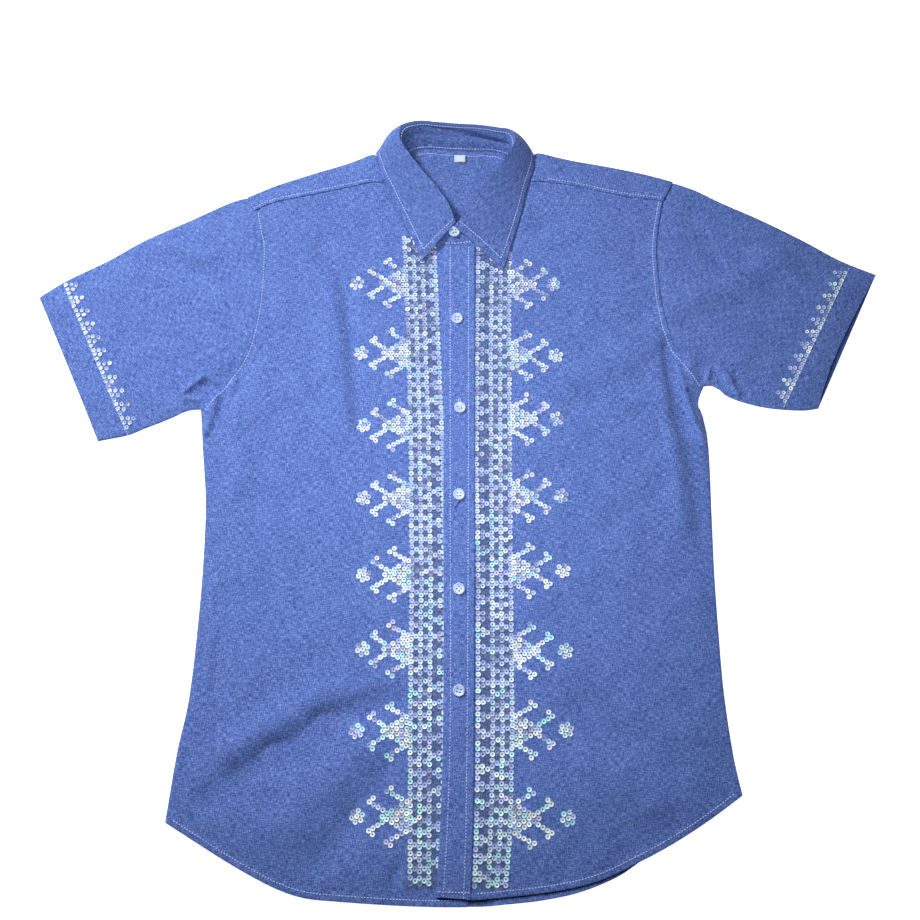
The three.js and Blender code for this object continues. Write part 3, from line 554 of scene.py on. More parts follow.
def piece(name, parts, material, replaced=(), colours=None):
    """One object from several parts, each (vertices, quads, grain)."""
    starts = np.cumsum([0] + [len(part[0]) for part in parts])
    vertices = np.concatenate([part[0] for part in parts]) * MM
    quads = np.concatenate([part[1] + start for part, start in zip(parts, starts)])
    mesh = bpy.data.meshes.new(name)
    mesh.from_pydata(vertices.tolist(), [], quads.tolist())
    if parts[0][2] is not None:
        grain = np.concatenate([part[2] for part in parts])
        grain = np.hstack([grain, np.zeros((len(grain), 1))])
        mesh.attributes.new("grain", "FLOAT_VECTOR", "POINT").data.foreach_set("vector", grain.ravel())
    if colours is None:
        colours = np.ones((len(vertices), 4))
    mesh.attributes.new("tint", "FLOAT_COLOR", "POINT").data.foreach_set("color", colours.ravel())
    mesh.polygons.foreach_set("use_smooth", np.ones(len(quads), bool))
    mesh.set_sharp_from_angle(angle=math.radians(38))
    mesh.materials.append(material)
    return placed(bpy.data.objects.new(name, mesh), replaced)


LINING_AND_SHADOW_SHARE = 0.88  # brightness of faced and lined cloth, which passes less light than a single ply; it also holds painted shade on the collar and behind the neck


def plain_tint(count, share=LINING_AND_SHADOW_SHARE):
    """One tint for all of a piece's points."""
    return np.tile([share, share, share, 1.0], (count, 1))


def added(name, data):
    thing = bpy.data.objects.new(name, data)
    bpy.context.scene.collection.objects.link(thing)
    return thing


def placed(thing, replaced=()):
    bpy.context.scene.collection.objects.link(thing)
    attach(thing, "root")
    if replaced:
        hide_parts(*replaced)
    return thing


# ---------------------------------------------------------------- materials

def shader_of(name, **sockets):
    """A material whose Principled shader has these constant values."""
    material = bpy.data.materials.new(name)
    material.use_nodes = True
    shader = material.node_tree.nodes["Principled BSDF"]
    for key, value in sockets.items():
        shader.inputs[key.replace("_", " ")].default_value = value
    return material, material.node_tree, shader


def node(tree, kind, links=None, **values):
    """A node with values set on its sockets by number or on itself by name, and links from other sockets."""
    made = tree.nodes.new(kind)
    for key, value in values.items():
        if key.startswith("in_"):
            made.inputs[int(key[3:])].default_value = value
        else:
            setattr(made, key, value)
    for socket, source in (links or {}).items():
        tree.links.new(source, made.inputs[socket])
    return made


def maths(tree, operation, first, second=None):
    made = tree.nodes.new("ShaderNodeMath")
    made.operation = operation
    for socket, value in enumerate((first, second)):
        if isinstance(value, (int, float)):
            made.inputs[socket].default_value = value
        elif value is not None:
            tree.links.new(value, made.inputs[socket])
    return made.outputs[0]


def noise(tree, vector, scale, detail=2.0, roughness=0.5):
    """Noise over a vector that is first stretched by three scales."""
    stretched = node(tree, "ShaderNodeVectorMath", {0: vector}, operation="MULTIPLY", in_1=scale)
    made = node(tree, "ShaderNodeTexNoise", {"Vector": stretched.outputs[0]})
    made.inputs["Scale"].default_value = 1.0
    made.inputs["Detail"].default_value = detail
    made.inputs["Roughness"].default_value = roughness
    return made.outputs["Fac"]


def multiplied(tree, first, second):
    made = node(tree, "ShaderNodeMix", data_type="RGBA", blend_type="MULTIPLY")
    made.inputs[0].default_value = 1.0
    tree.links.new(first, made.inputs[6])
    tree.links.new(second, made.inputs[7])
    return made.outputs[2]


def ramp(tree, factor, stops):
    made = node(tree, "ShaderNodeValToRGB", {0: factor})
    band = made.color_ramp
    while len(band.elements) < len(stops):
        band.elements.new(0.5)
    for element, (position, colour) in zip(band.elements, stops):
        element.position = position
        element.color = (*colour, 1)
    return made.outputs[0]


def bump(tree, height, distance, strength=1.0, normal=None):
    links = {"Height": height} if normal is None else {"Height": height, "Normal": normal}
    made = node(tree, "ShaderNodeBump", links)
    made.inputs["Strength"].default_value = strength
    made.inputs["Distance"].default_value = distance
    return made.outputs[0]


def object_place(tree):
    return node(tree, "ShaderNodeTexCoord").outputs["Object"]


def tint_of(tree):
    return node(tree, "ShaderNodeAttribute", attribute_name="tint").outputs["Color"]


def mottled(name, scale, detail, roughness, stops, **sockets):
    """A material coloured by noise in the object's own space. Its tree, shader and noise come with it."""
    material, tree, shader = shader_of(name, **sockets)
    shade = noise(tree, object_place(tree), scale, detail, roughness)
    tree.links.new(ramp(tree, shade, stops), shader.inputs["Base Color"])
    return material, tree, shader, shade


WEAVE_PITCH = 0.62  # two threads of the plain weave
WARP_SHARE, WEFT_SHARE, HEATHER_SHARE, CLOUD_SHARE = 0.36, 0.36, 0.23, 0.05
CHAMBRAY_TINTS = [(0.415, (0.028, 0.062, 0.255)), (0.50, (0.084, 0.152, 0.460)),
                  (0.585, (0.212, 0.322, 0.735))]
THREAD_TINTS = [(0.3, (0.40, 0.48, 0.86)), (0.7, (0.68, 0.74, 0.98))]
FILM_TINTS = [(0.30, (0.86, 0.80, 0.95)), (0.45, (1, 1, 1)), (0.58, (0.86, 0.98, 1)), (0.72, (1, 0.90, 0.94))]
PLASTIC_TINTS = [(0.3, (0.36, 0.48, 0.74)), (0.6, (0.50, 0.62, 0.86)), (0.8, (0.62, 0.72, 0.94))]
TAPE_TINTS = [(0.3, (0.46, 0.53, 0.70)), (0.7, (0.66, 0.74, 0.86))]
# Near-black: painted shade inside the buttonholes, and the navy thread's own colour.
SLIT_SHADOW_AND_NAVY_TINTS = [(0.3, (0.006, 0.010, 0.035)), (0.7, (0.015, 0.022, 0.07))]
FLOOR_TINTS = [(0.3, (0.88, 0.88, 0.89)), (0.7, (0.92, 0.92, 0.92))]


def chambray():
    """Plain weave of blue warp and white weft: heathered, with slubs both ways."""
    material, tree, shader = shader_of("chambray", Roughness=0.88, Sheen_Weight=0.12, Sheen_Roughness=0.5,
                                       Specular_IOR_Level=0.25)
    grain = node(tree, "ShaderNodeAttribute", attribute_name="grain").outputs["Vector"]
    warp = noise(tree, grain, (1.3, 0.22, 1), 2, 0.65)
    weft = noise(tree, grain, (0.18, 1.25, 1), 2, 0.65)
    heather = noise(tree, grain, (1.4, 1.4, 1), 2, 0.7)
    cloud = noise(tree, grain, (0.06, 0.045, 1), 2, 0.5)
    mixed = maths(tree, "MULTIPLY", warp, WARP_SHARE)
    for part, share in ((weft, WEFT_SHARE), (heather, HEATHER_SHARE), (cloud, CLOUD_SHARE)):
        mixed = maths(tree, "ADD", mixed, maths(tree, "MULTIPLY", part, share))
    colour = ramp(tree, mixed, CHAMBRAY_TINTS)
    tree.links.new(multiplied(tree, colour, tint_of(tree)), shader.inputs["Base Color"])
    split = node(tree, "ShaderNodeSeparateXYZ", {0: grain})
    turn = 2 * math.pi / WEAVE_PITCH
    crossing = maths(tree, "MULTIPLY", maths(tree, "SINE", maths(tree, "MULTIPLY", split.outputs[0], turn)),
                     maths(tree, "SINE", maths(tree, "MULTIPLY", split.outputs[1], turn)))
    threads = bump(tree, crossing, 0.00006, 0.5)
    tree.links.new(bump(tree, mixed, 0.0006, 0.6, threads), shader.inputs["Normal"])
    return material


def sewing_thread():
    material, tree, shader, _ = mottled("sewing_thread", (900, 900, 900), 2, 0.5, THREAD_TINTS, Roughness=0.6,
                                        Sheen_Weight=0.2)
    twist = noise(tree, object_place(tree), (3000, 3000, 3000), 1, 0.5)
    tree.links.new(bump(tree, twist, 0.0001), shader.inputs["Normal"])
    return material


def sequin_film():
    """Clear plastic with an iridescent film. Each sequin's tint says how much of it catches the light."""
    material, tree, shader = shader_of("sequin_film", Roughness=0.38, Metallic=0.06, Coat_Weight=0.15,
                                       Coat_Roughness=0.2, Thin_Film_Thickness=420.0, Thin_Film_IOR=1.45)
    play = ramp(tree, noise(tree, object_place(tree), (420, 420, 420), 1, 0.5), FILM_TINTS)
    tree.links.new(multiplied(tree, tint_of(tree), play), shader.inputs["Base Color"])
    return material


def button_plastic():
    return mottled("button_plastic", (260, 260, 420), 3, 0.6, PLASTIC_TINTS, Roughness=0.28, Coat_Weight=0.3,
                   Coat_Roughness=0.15, Subsurface_Weight=0.1, Subsurface_Radius=(0.002, 0.002, 0.003))[0]


def tape():
    """Woven label tape."""
    material, tree, shader, ribs = mottled("label_tape", (400, 5200, 400), 1, 0.5, TAPE_TINTS, Roughness=0.7,
                                           Sheen_Weight=0.15)
    tree.links.new(bump(tree, ribs, 0.0002), shader.inputs["Normal"])
    return material


def slit_shadow_and_navy_thread():
    """Painted shade for the dark inside of a buttonhole, and the colour of the navy thread below a button."""
    return mottled("buttonhole_shadow_and_navy_thread", (900, 900, 900), 1, 0.5, SLIT_SHADOW_AND_NAVY_TINTS, Roughness=0.9)[0]


CHAMBRAY, THREAD, FILM, PLASTIC, TAPE, SLIT_SHADOW_AND_NAVY_THREAD = (
    chambray(), sewing_thread(), sequin_film(), button_plastic(), tape(), slit_shadow_and_navy_thread())


# ---------------------------------------------------------------- body

FOOT_PLAN = np.array(BAND_FOOT)[:, :2]


def neck_points(rows, clearance=0.4):
    """Places on the panels' neck edge, by row of the band, just outside the band's foot."""
    rows = np.asarray(rows, float)
    step = 1e-3
    before, after = np.clip(rows - step, 0, BAND_ROWS), np.clip(rows + step, 0, BAND_ROWS)
    along = unit(catmull(FOOT_PLAN, after) - catmull(FOOT_PLAN, before))
    return catmull(FOOT_PLAN, rows) + clearance * np.stack([-along[:, 1], along[:, 0]], axis=-1)


def neck_edge(start, end):
    return by_length(neck_points(np.linspace(start, end, 40 * max(1, int(abs(end - start))))))


def yoke_seam(name):
    neck = neck_points([RIGHT_SEAM if name == "right" else LEFT_SEAM])[0]
    return edge([*OUTLINE[name]["yoke_seam"], tuple(neck)])


def shoulder_fold(name):
    neck = neck_points([RIGHT_FOLD if name == "right" else LEFT_FOLD])[0]
    return edge([*OUTLINE[name]["shoulder"], COLLAR_BEND[name], tuple(neck)])


# Tint of the cloth in the sewn bands: partly the backing's colour, partly painted shade cast by the sequins.
BACKING_AND_SEQUIN_SHADOW_TINT = np.array([0.90, 0.80, 0.64, 1])
BACKING_AND_SHADOW_MARGIN, BACKING_AND_SHADOW_BLEND = 2, 3
MOTIF_SLOPE = 0.58  # how fast a motif's triangle narrows outward


def backing_and_sequin_shadow(places, name):
    """From 0 to 1 where the cloth is backed and closely sewn with sequins, and so looks darker and greyer:
    partly the backing's colour and partly painted shade of the sequins on the cloth between them.
    """
    x, y = places[..., 0], places[..., 1]
    sign = -1 if name == "right" else 1
    inner, outer = column_at(name, "inner", y), column_at(name, "outer", y)
    first, last = band_ends(name)
    band = np.minimum.reduce([sign * (x - inner), sign * (outer - x), first - y, y - last]) + BACKING_AND_SHADOW_MARGIN
    half = MOTIF_BASE * SEQUIN_PITCH / 2
    motifs = [half - np.abs(y - up) - MOTIF_SLOPE * np.abs(x - column_at(name, "outer", up))
              for _, up in ROSETTES[name]]
    motifs = np.minimum(np.maximum.reduce(motifs), sign * (x - outer) + BACKING_AND_SHADOW_MARGIN)
    return smooth(np.maximum(band, motifs) / BACKING_AND_SHADOW_BLEND)


SIDE_SHARE = 24 / 34  # of a front's height, below the armpit
YOKE_SHARE = 9 / 14  # of a front's width, under the yoke


def front(name):
    side = SIDES[name]
    seam = shift(yoke_seam(name), 0, TUCK)
    long_edge = chain(side["side"], side["armhole"], SIDE_SHARE)
    up = joined(steps(196, 400, fine_start=True), steps(96, 250), SIDE_SHARE)
    if name == "right":
        across = joined(steps(84, 190, fine_start=True), steps(28, 90), YOKE_SHARE)
        far = chain(seam, neck_edge(RIGHT_SEAM, 0), YOKE_SHARE)
        places = patch(side["hem"], far, long_edge, side["front_edge"], across, up)
    else:
        across = joined(steps(28, 90), steps(84, 190, fine_end=True), 1 - YOKE_SHARE)
        far = chain(neck_edge(BAND_ROWS, LEFT_SEAM), reverse(seam), 1 - YOKE_SHARE)
        places = patch(side["hem"], far, side["front_edge"], long_edge, across, up)
    # Painted sequin shade, with the backing's colour, on the sewn bands.
    tint = 1 - backing_and_sequin_shadow(places, name)[..., None] * (1 - BACKING_AND_SEQUIN_SHADOW_TINT)
    faces = shell(on_height(places, front_height(name)), PLY)
    return piece(f"front_{name}_cloth", [faces], CHAMBRAY, [f"front_{name}"],
                 np.tile(tint.reshape(-1, 4), (2, 1)))


def armhole_and_tip(name, start):
    """The armhole from a share of its length to the shoulder's tip."""
    side = SIDES[name]
    curve = side["armhole"](np.linspace(start, 1, 60))
    return by_length(np.vstack([curve, side["shoulder"](0.0)[None]]))


BACK_SEAM_SHARE = 0.9  # where the back's seam with the yoke meets the armhole


def back_seam(dy):
    ends = [SIDES[name]["armhole"](BACK_SEAM_SHARE) for name in ("right", "left")]
    return shift(straight(*ends), 0, dy)


def back():
    """The under layer, which lies on the surface and shows past the front's hem."""
    side_share = 13 / 22

    def long_edge(name):
        upper = by_length(SIDES[name]["armhole"](np.linspace(0, BACK_SEAM_SHARE, 50)))
        return chain(SIDES[name]["side"], upper, side_share)

    across = steps(80, 500, fine_start=True, fine_end=True)
    up = joined(steps(90, 400, fine_start=True), steps(40, 200), side_share)
    places = patch(edge(BACK_HEM), back_seam(TUCK), long_edge("right"), long_edge("left"), across, up)

    def height(places):
        hem, run = nearest(places, edge(BACK_HEM)(LINE_POINTS))
        lift = 0.35 * smooth((HEM + 1 - hem) / 1.4) - 0.25 * round_over(hem, 0.8)
        return floor_height(places) + PLY + 0.05 + lift + puckers(hem, run, 6, 12, 0.04)

    return piece("back_cloth", [shell(on_height(places, height), PLY)], CHAMBRAY, ["back"])


YOKE_STITCH = 3.4  # from the yoke's front edge


def yoke_edge_relief(name):
    """The yoke's front edge lies on the front, stitched down, with the pull of the seam."""
    line = yoke_seam(name)(LINE_POINTS)

    def relief(places):
        distance, run = nearest(places, line)
        lift = 1.25 - 0.75 * smooth((distance - 4) / 8)
        lift = lift - 0.4 * bell(distance - YOKE_STITCH, STITCH_DIP) - 0.5 * round_over(distance, 0.7)
        return lift + puckers(distance, run, 10, 12, 0.4)

    return relief


def yoke_height(name):
    relief = yoke_edge_relief(name)

    def height(places):
        armhole, run = nearest(places, armhole_and_tip(name, 0.97)(LINE_POINTS))
        fold = nearest(places, shoulder_fold(name)(LINE_POINTS))[0]
        z = upper_height(places) + relief(places) + seam_relief(armhole, run) - pressed(places, name)
        middle = floor_height(places) + 1.0
        return z - (z - middle) * round_over(fold)

    return height


NECK_STITCH = 6.5  # behind the neck, from the band's seam


def yoke_inside_height(places):
    """Inner face of the lower layer behind the neck, drawn up along the band's seam."""
    neck, run = nearest(places, neck_points(np.linspace(RIGHT_FOLD, LEFT_FOLD, 60)))
    drawn = -0.45 * bell(neck - NECK_STITCH, 1.2) + 0.5 * smooth((NECK_STITCH + 0.5 - neck) / 2)
    return floor_height(places) + CLOTH + drawn + puckers(neck - 3, run, 9, 8, 0.45)


def yoke():
    """Two shoulders, each folded over at the top, and the lower layer that joins them behind the neck."""
    parts = []
    for name in ("right", "left"):
        seam, fold = yoke_seam(name), shoulder_fold(name)
        armhole = straight(SIDES[name]["armhole"](1.0), SIDES[name]["shoulder"](0.0))
        across, up = steps(64, 160), steps(14, 30, fine_start=True, fine_end=True)
        if name == "right":
            places = patch(seam, fold, armhole, neck_edge(RIGHT_SEAM, RIGHT_FOLD), across, up)
        else:
            neck = neck_edge(LEFT_SEAM, LEFT_FOLD)
            places = patch(reverse(seam), reverse(fold), neck, armhole, across, up)
        top = on_height(places, yoke_height(name))
        inward = unit(places[:, -2] - places[:, -1])
        under = []
        for distance in (0.4, 1.0, 2.0, 3.2):
            at = places[:, -1] + inward * distance
            low, middle = floor_height(at) + 0.05, floor_height(at) + 1.0
            under.append(lifted(at, low + (middle - low) * round_over(distance)))
        parts.append(shell(np.concatenate([top, np.stack(under, axis=1)], axis=1), PLY))
    inside = 2.6
    folds = [shift(shoulder_fold(name), 0, -inside) for name in ("right", "left")]
    share = 8 / 24
    far = chain(folds[0], chain(neck_edge(RIGHT_FOLD, LEFT_FOLD), reverse(folds[1]), 0.5), share)
    across = np.linspace(0, 1, 145)
    ends = [armhole_and_tip(name, BACK_SEAM_SHARE) for name in ("right", "left")]
    places = patch(back_seam(0), far, *ends, across, steps(26, 90))
    parts.append(shell(on_height(places, yoke_inside_height), PLY))
    # The lower layer behind the neck is darker: lined, and with painted shade from the collar.
    tints = [plain_tint(len(faces[0]), share) for faces, share in zip(parts, (1, 1, LINING_AND_SHADOW_SHARE))]
    return piece("yoke_cloth", parts, CHAMBRAY, ["yoke"], np.concatenate(tints))


# ---------------------------------------------------------------- sleeves

SLEEVE_WIDTH, SLEEVE_LENGTH = 175, 200


def sleeve_height(name):
    """Outer face of a sleeve's upper layer, with its hem at the cuff."""
    def height(places):
        cuff, cuff_run = nearest(places, cuff_line(name)(LINE_POINTS))
        armhole, run = nearest(places, armhole_and_tip(name, 0)(LINE_POINTS))
        ply = 0.3 * smooth((CUFF_HEM + 1 - cuff) / 1.5) - 0.25 * bell(cuff - CUFF_HEM, 1.0)
        z = upper_height(places) + ply + puckers(cuff - CUFF_HEM, cuff_run, 7, 14, 0.16)
        z = z + puckers(cuff, cuff_run, 9, 24, 0.25) + puckers(armhole, run, 9, 11, 0.25)
        return z - 0.55 * smooth(1 - (armhole - 1) / 6)
    return height


def sleeve(name):
    """A flattened tube, open at the armhole and the cuff, folded along its top and its underarm."""
    side = SIDES[name]
    inward = 1 if name == "right" else -1
    armhole = shift(armhole_and_tip(name, 0), inward * TUCK, 0)
    top = edge([tuple(armhole(1.0)), *OUTLINE[name]["sleeve_top"][1:]])
    underarm = edge([tuple(armhole(0.0)), *OUTLINE[name]["underarm"][1:]])
    cuff = cuff_line(name)
    across = steps(88, SLEEVE_WIDTH, fine_start=True, fine_end=True)
    along = steps(104, SLEEVE_LENGTH, fine_end=True)
    if name == "right":
        places = patch(reverse(armhole), reverse(cuff), top, underarm, across, along)
    else:
        places = patch(armhole, cuff, underarm, top, across, along)
    places = places.transpose(1, 0, 2)
    width = np.linalg.norm(places[:, -1] - places[:, 0], axis=-1)[:, None]
    inset = (0.7 * smooth(1 - along * SLEEVE_LENGTH / 6))[:, None] / width
    share = inset + across[None] * (1 - 2 * inset)
    places = places[:, :1] + (places - places[:, :1]) * (share / np.maximum(across, 1e-9))[..., None]
    from_fold = np.minimum(across, 1 - across)[None] * width
    from_underarm = (1 - across if name == "right" else across)[None]
    lengthways = side["sleeve_top"](1.0) - side["sleeve_top"](0.0)
    lengthways /= np.linalg.norm(lengthways)
    bow = np.sin(math.pi * from_underarm ** 0.75) * along[:, None] ** 4
    upper = places - CUFF_DRAW[name] * bow[..., None] * lengthways
    middle = 1.0
    high = sleeve_height(name)(upper)
    high = high - (high - middle) * round_over(from_fold)
    low = 0.04 + (middle - 0.04) * round_over(from_fold)
    ring = np.concatenate([lifted(upper, high), lifted(places, low)[:, -2:0:-1]], axis=1)
    turned = np.array([[lengthways[1], -lengthways[0]], [lengthways[0], lengthways[1]]])
    faces = shell(ring, PLY, ring=True, grain=ring[..., :2] @ turned.T)
    return piece(f"sleeve_{name}_cloth", [faces], CHAMBRAY, [f"sleeve_{name}"])


# ---------------------------------------------------------------- placket

PLACKET_STITCH = 6.8  # from each of its edges
# Level and depth of the dips across the strip between its buttons.
PLACKET_TROUGHS = [(-7, 1.0), (-275, 0.8), (-338, 0.9), (96, 0.5)]


def placket_surface(places):
    """Outer face of the strip, with its two rows of stitches and the pull of the buttons."""
    free, run = nearest(places, edge(FREE_EDGE)(LINE_POINTS))
    sewn, sewn_run = nearest(places, edge(SEWN_EDGE)(LINE_POINTS))
    x, y = places[..., 0], places[..., 1]
    z = placket_height(places)
    for distance, along in ((free, run), (sewn, sewn_run)):
        z = z - 0.28 * bell(distance - PLACKET_STITCH, STITCH_DIP)
        z = z + puckers(distance - 3, along, 4, 10, 0.12)
    for level, depth in PLACKET_TROUGHS:
        z = z - 0.5 * depth * bell(y - level - 0.15 * x, 6)
    return z


def placket():
    free, sewn = edge(FREE_EDGE), edge(SEWN_EDGE)
    across = steps(16, 31, fine_start=True, fine_end=True)
    up = steps(230, 640, fine_start=True)
    places = patch(straight(free(0.0), sewn(0.0)), straight(free(1.0), sewn(1.0)), free, sewn, across, up)
    z = placket_surface(places)
    from_free, from_sewn = across[:, None] * 31, (1 - across)[:, None] * 31
    z = z - 3.2 * round_over(from_free, 1.5) - 1.6 * round_over(from_sewn, 1.2)
    return piece("placket_cloth", [shell(lifted(places, z), PLY)], CHAMBRAY, ["placket"])


# ---------------------------------------------------------------- collar

# Creases of the band: from and to as (row, share of its height), height, and half width in that plane.
STAND_CREASES = [((9.4, 0.95), (11.2, 0.55), -1.8, 0.10), ((11.2, 0.55), (12.9, 0.5), -1.8, 0.10),
                 ((9.8, 1.0), (11.6, 0.72), 1.0, 0.10), ((7.6, 0.62), (9.6, 0.6), -0.7, 0.10),
                 ((9.8, 0.3), (11.0, 0.15), 0.7, 0.12)]


def band_points(rows, shares):
    """Places on the band's middle surface, by row and by share of its height."""
    foot, top = catmull(BAND_FOOT, rows, 0.5), catmull(BAND_TOP, rows, 0.5)
    return foot[:, None] + (top - foot)[:, None] * shares[None, :, None]


BAND_HEIGHT, BAND_ROW_LENGTH = 18, 14


def stand():
    rows = np.linspace(0, BAND_ROWS, 281)
    shares = np.concatenate([[-0.1, -0.04], np.linspace(0, 1, 15)])
    points = band_points(rows, shares)
    normal = grid_normals(points, False)
    place = np.stack(np.broadcast_arrays(rows[:, None] / 8, shares[None]), axis=-1)
    relief = np.zeros(points.shape[:2])
    for start, end, depth, width in STAND_CREASES:
        line = np.array([start, end], float) / (8, 1)
        relief = relief + depth * bell(nearest(place, line)[0], width)
    run = rows[:, None] * BAND_ROW_LENGTH
    foot, top = shares[None] * BAND_HEIGHT, (1 - shares[None]) * BAND_HEIGHT
    relief = relief + puckers(foot, run, 9, 9, 0.3) + puckers(top, run, 6, 10, 0.15)
    width = run_of(points[:, 8])
    grain = np.stack(np.broadcast_arrays(width[:, None], shares[None] * 24), axis=-1)
    faces = shell(points + normal * relief[..., None], COLLAR_PLY, COLLAR_PLY / 2, grain=grain)
    # Darker for its lining and by painted shade.
    tint = plain_tint(len(faces[0]))
    return piece("collar_stand_cloth", [faces], CHAMBRAY, ["collar_stand"], tint)


def leaf_points(rows, shares):
    """Places on the leaf's middle surface, from 0 at the roll to 1 at the free edge. Below 0 is inside it."""
    roll, bend, free = (catmull(line, rows, 0.5)[:, None] for line in (LEAF_ROLL, LEAF_BEND, LEAF_EDGE))
    share = np.clip(shares, 0, 1)[None, :, None]
    points = roll * (1 - share) ** 2 + bend * 2 * share * (1 - share) + free * share ** 2
    points[..., 2] = np.maximum(points[..., 2], 0.7)
    inside = np.clip(-shares, 0, 1)[None, :, None]
    join = catmull(BAND_TOP, rows + 1, 0.5)[:, None]
    over = 0.5 * (roll + join) + np.array([0, 0, 0.8])
    turned = roll * (1 - inside) ** 2 + over * 2 * inside * (1 - inside) + join * inside ** 2
    return np.where(inside > 0, turned, points)


LEAF_STITCH = 6.0
LEAF_ROWS = len(LEAF_ROLL) - 1
LEAF_ROW_LENGTH = 26  # near the leaf's ends
LEAF_SPAN = 60  # the most that a place's share of the leaf's width counts as


def leaf_relief(points, rows, shares):
    """The leaf's stitched margin, its slight fullness and the pull of the seam, along its normal."""
    free, run = run_of(points[:, -1]), run_of(points[:, 0])
    span = np.linalg.norm(np.diff(points, axis=1), axis=-1).sum(1)
    from_free = (1 - np.clip(shares, 0, 1))[None] * np.minimum(span, LEAF_SPAN)[:, None]
    row = rows[:, None]
    from_ends = np.minimum(row, LEAF_ROWS - row) * LEAF_ROW_LENGTH
    margin = np.minimum(from_free, from_ends)
    relief = -0.22 * bell(margin - LEAF_STITCH, STITCH_DIP)
    relief = relief + puckers(from_free, free[:, None], 8, 11, 0.12)
    fullness = np.sin(math.pi * np.clip(shares, 0, 1))[None]
    soft = 0.35 * np.sin(free[:, None] / 17 + 2.2 * shares[None]) * fullness
    return relief + soft + puckers(shares[None] * 50, run[:, None], 7, 12, 0.12), margin


def leaf():
    rows = steps(250, 500, fine_start=True, fine_end=True) * LEAF_ROWS
    shares = np.concatenate([np.linspace(-1, -0.15, 6), steps(26, 60, fine_end=True)])
    points = leaf_points(rows, shares)
    relief, margin = leaf_relief(points, rows, shares)
    points = points + grid_normals(points, False) * relief[..., None]
    thin = 0.4 * round_over(margin, 1.0)
    grain = np.stack(np.broadcast_arrays(run_of(points[:, 20])[:, None] * 0.8, shares[None] * 55), axis=-1)
    faces = shell(points, COLLAR_PLY, COLLAR_PLY / 2, thin=thin, grain=grain)
    # Darker for its lining and by painted shade.
    tint = plain_tint(len(faces[0]))
    return piece("collar_leaf_cloth", [faces], CHAMBRAY, ["collar_leaf"], tint)


# ---------------------------------------------------------------- stitches

THREAD_SIDES, STITCH_RINGS = 6, 5
THREAD_RING = np.arange(THREAD_SIDES) * 2 * math.pi / THREAD_SIDES


def tubes(centre, across, up, radius):
    """Six-sided tubes closed at both ends. Centres and both directions are by tube and by ring."""
    sideways = across[:, :, None] * np.cos(THREAD_RING)[:, None]
    points = centre[:, :, None] + radius * (sideways + up[:, :, None] * np.sin(THREAD_RING)[:, None])
    index = np.arange(points[..., 0].size).reshape(points.shape[:3])
    turned = np.roll(index, -1, axis=2)
    quads = np.stack([index[:, :-1], index[:, 1:], turned[:, 1:], turned[:, :-1]], -1).reshape(-1, 4)
    caps = [index[:, end, corners] for end, corners in
            ((0, [0, 1, 2, 3]), (0, [0, 3, 4, 5]), (-1, [3, 2, 1, 0]), (-1, [5, 4, 3, 0]))]
    return points.reshape(-1, 3), np.concatenate([quads, *caps]), None


def stitch_rows(name, lines):
    """Lines of stitches, each (points, normals): short rounded lengths of thread that dip into the cloth."""
    parts = []
    share = np.linspace(-1, 1, STITCH_RINGS)[:, None]
    for points, normals in lines:
        run = run_of(points)
        count = int(run[-1] / STITCH["pitch"])
        middle = (np.arange(count) + 0.5) * run[-1] / count
        at = at_runs(middle, run, points)
        along = unit(at_runs(middle + 0.5, run, points) - at)
        across = unit(np.cross(along, at_runs(middle, run, normals)))
        up = np.cross(across, along)
        swell = STITCH["radius"] * np.sqrt(1 - 0.93 * share ** 4)
        rise = 0.22 - 0.34 * share ** 2
        centre = at[:, None] + along[:, None] * (share * STITCH["length"] / 2) + up[:, None] * rise
        parts.append(tubes(centre, across[:, None], up[:, None], swell[None, :, None]))
    return piece(name, parts, THREAD)


def flat_row(places, height):
    """A row of stitches over a face that is a height above the plan."""
    step = 1.0
    z = height(places)
    slope = [(height(places + np.array(move)) - z) / step for move in ((step, 0), (0, step))]
    normals = np.stack([-slope[0], -slope[1], np.ones(len(z))], -1)
    return lifted(places, z), unit(normals)


def inset(line, distance, start=0.0, end=1.0, count=160):
    """A line in plan moved to its left by a distance."""
    places = line(np.linspace(start, end, count))
    along = unit(np.gradient(places, axis=0))
    return places + distance * np.stack([-along[:, 1], along[:, 0]], -1)


def sewn_rows():
    """Rows of stitches on the panels, by the piece of the model that they make."""
    free, sewn = edge(FREE_EDGE), edge(SEWN_EDGE)
    across = straight((-19, -404.8), (10.5, -405.8))(np.linspace(0, 1, 30))
    lines = (inset(free, -PLACKET_STITCH), inset(sewn, PLACKET_STITCH), across)
    rows = {"placket": [flat_row(line, placket_surface) for line in lines]}
    for name, sign in (("right", 1), ("left", -1)):
        side = SIDES[name]
        surface = front_height(name)
        hem = flat_row(inset(side["hem"], HEM - 0.7, *HEM_SPAN[name]), surface)
        armhole = flat_row(inset(side["armhole"], -sign * ARMHOLE_STITCH, 0.01, 0.99), surface)
        seam = flat_row(inset(yoke_seam(name), sign * YOKE_STITCH, 0.01, 0.8), yoke_height(name))
        cuff = flat_row(straight(*BORDERS[name])(np.linspace(*BORDER_SPAN[name], 160)), sleeve_height(name))
        for key, row in (("hem", hem), ("armhole", armhole), ("yoke", seam), ("cuff", cuff)):
            rows[f"{key}_{name}"] = [row]
    return rows


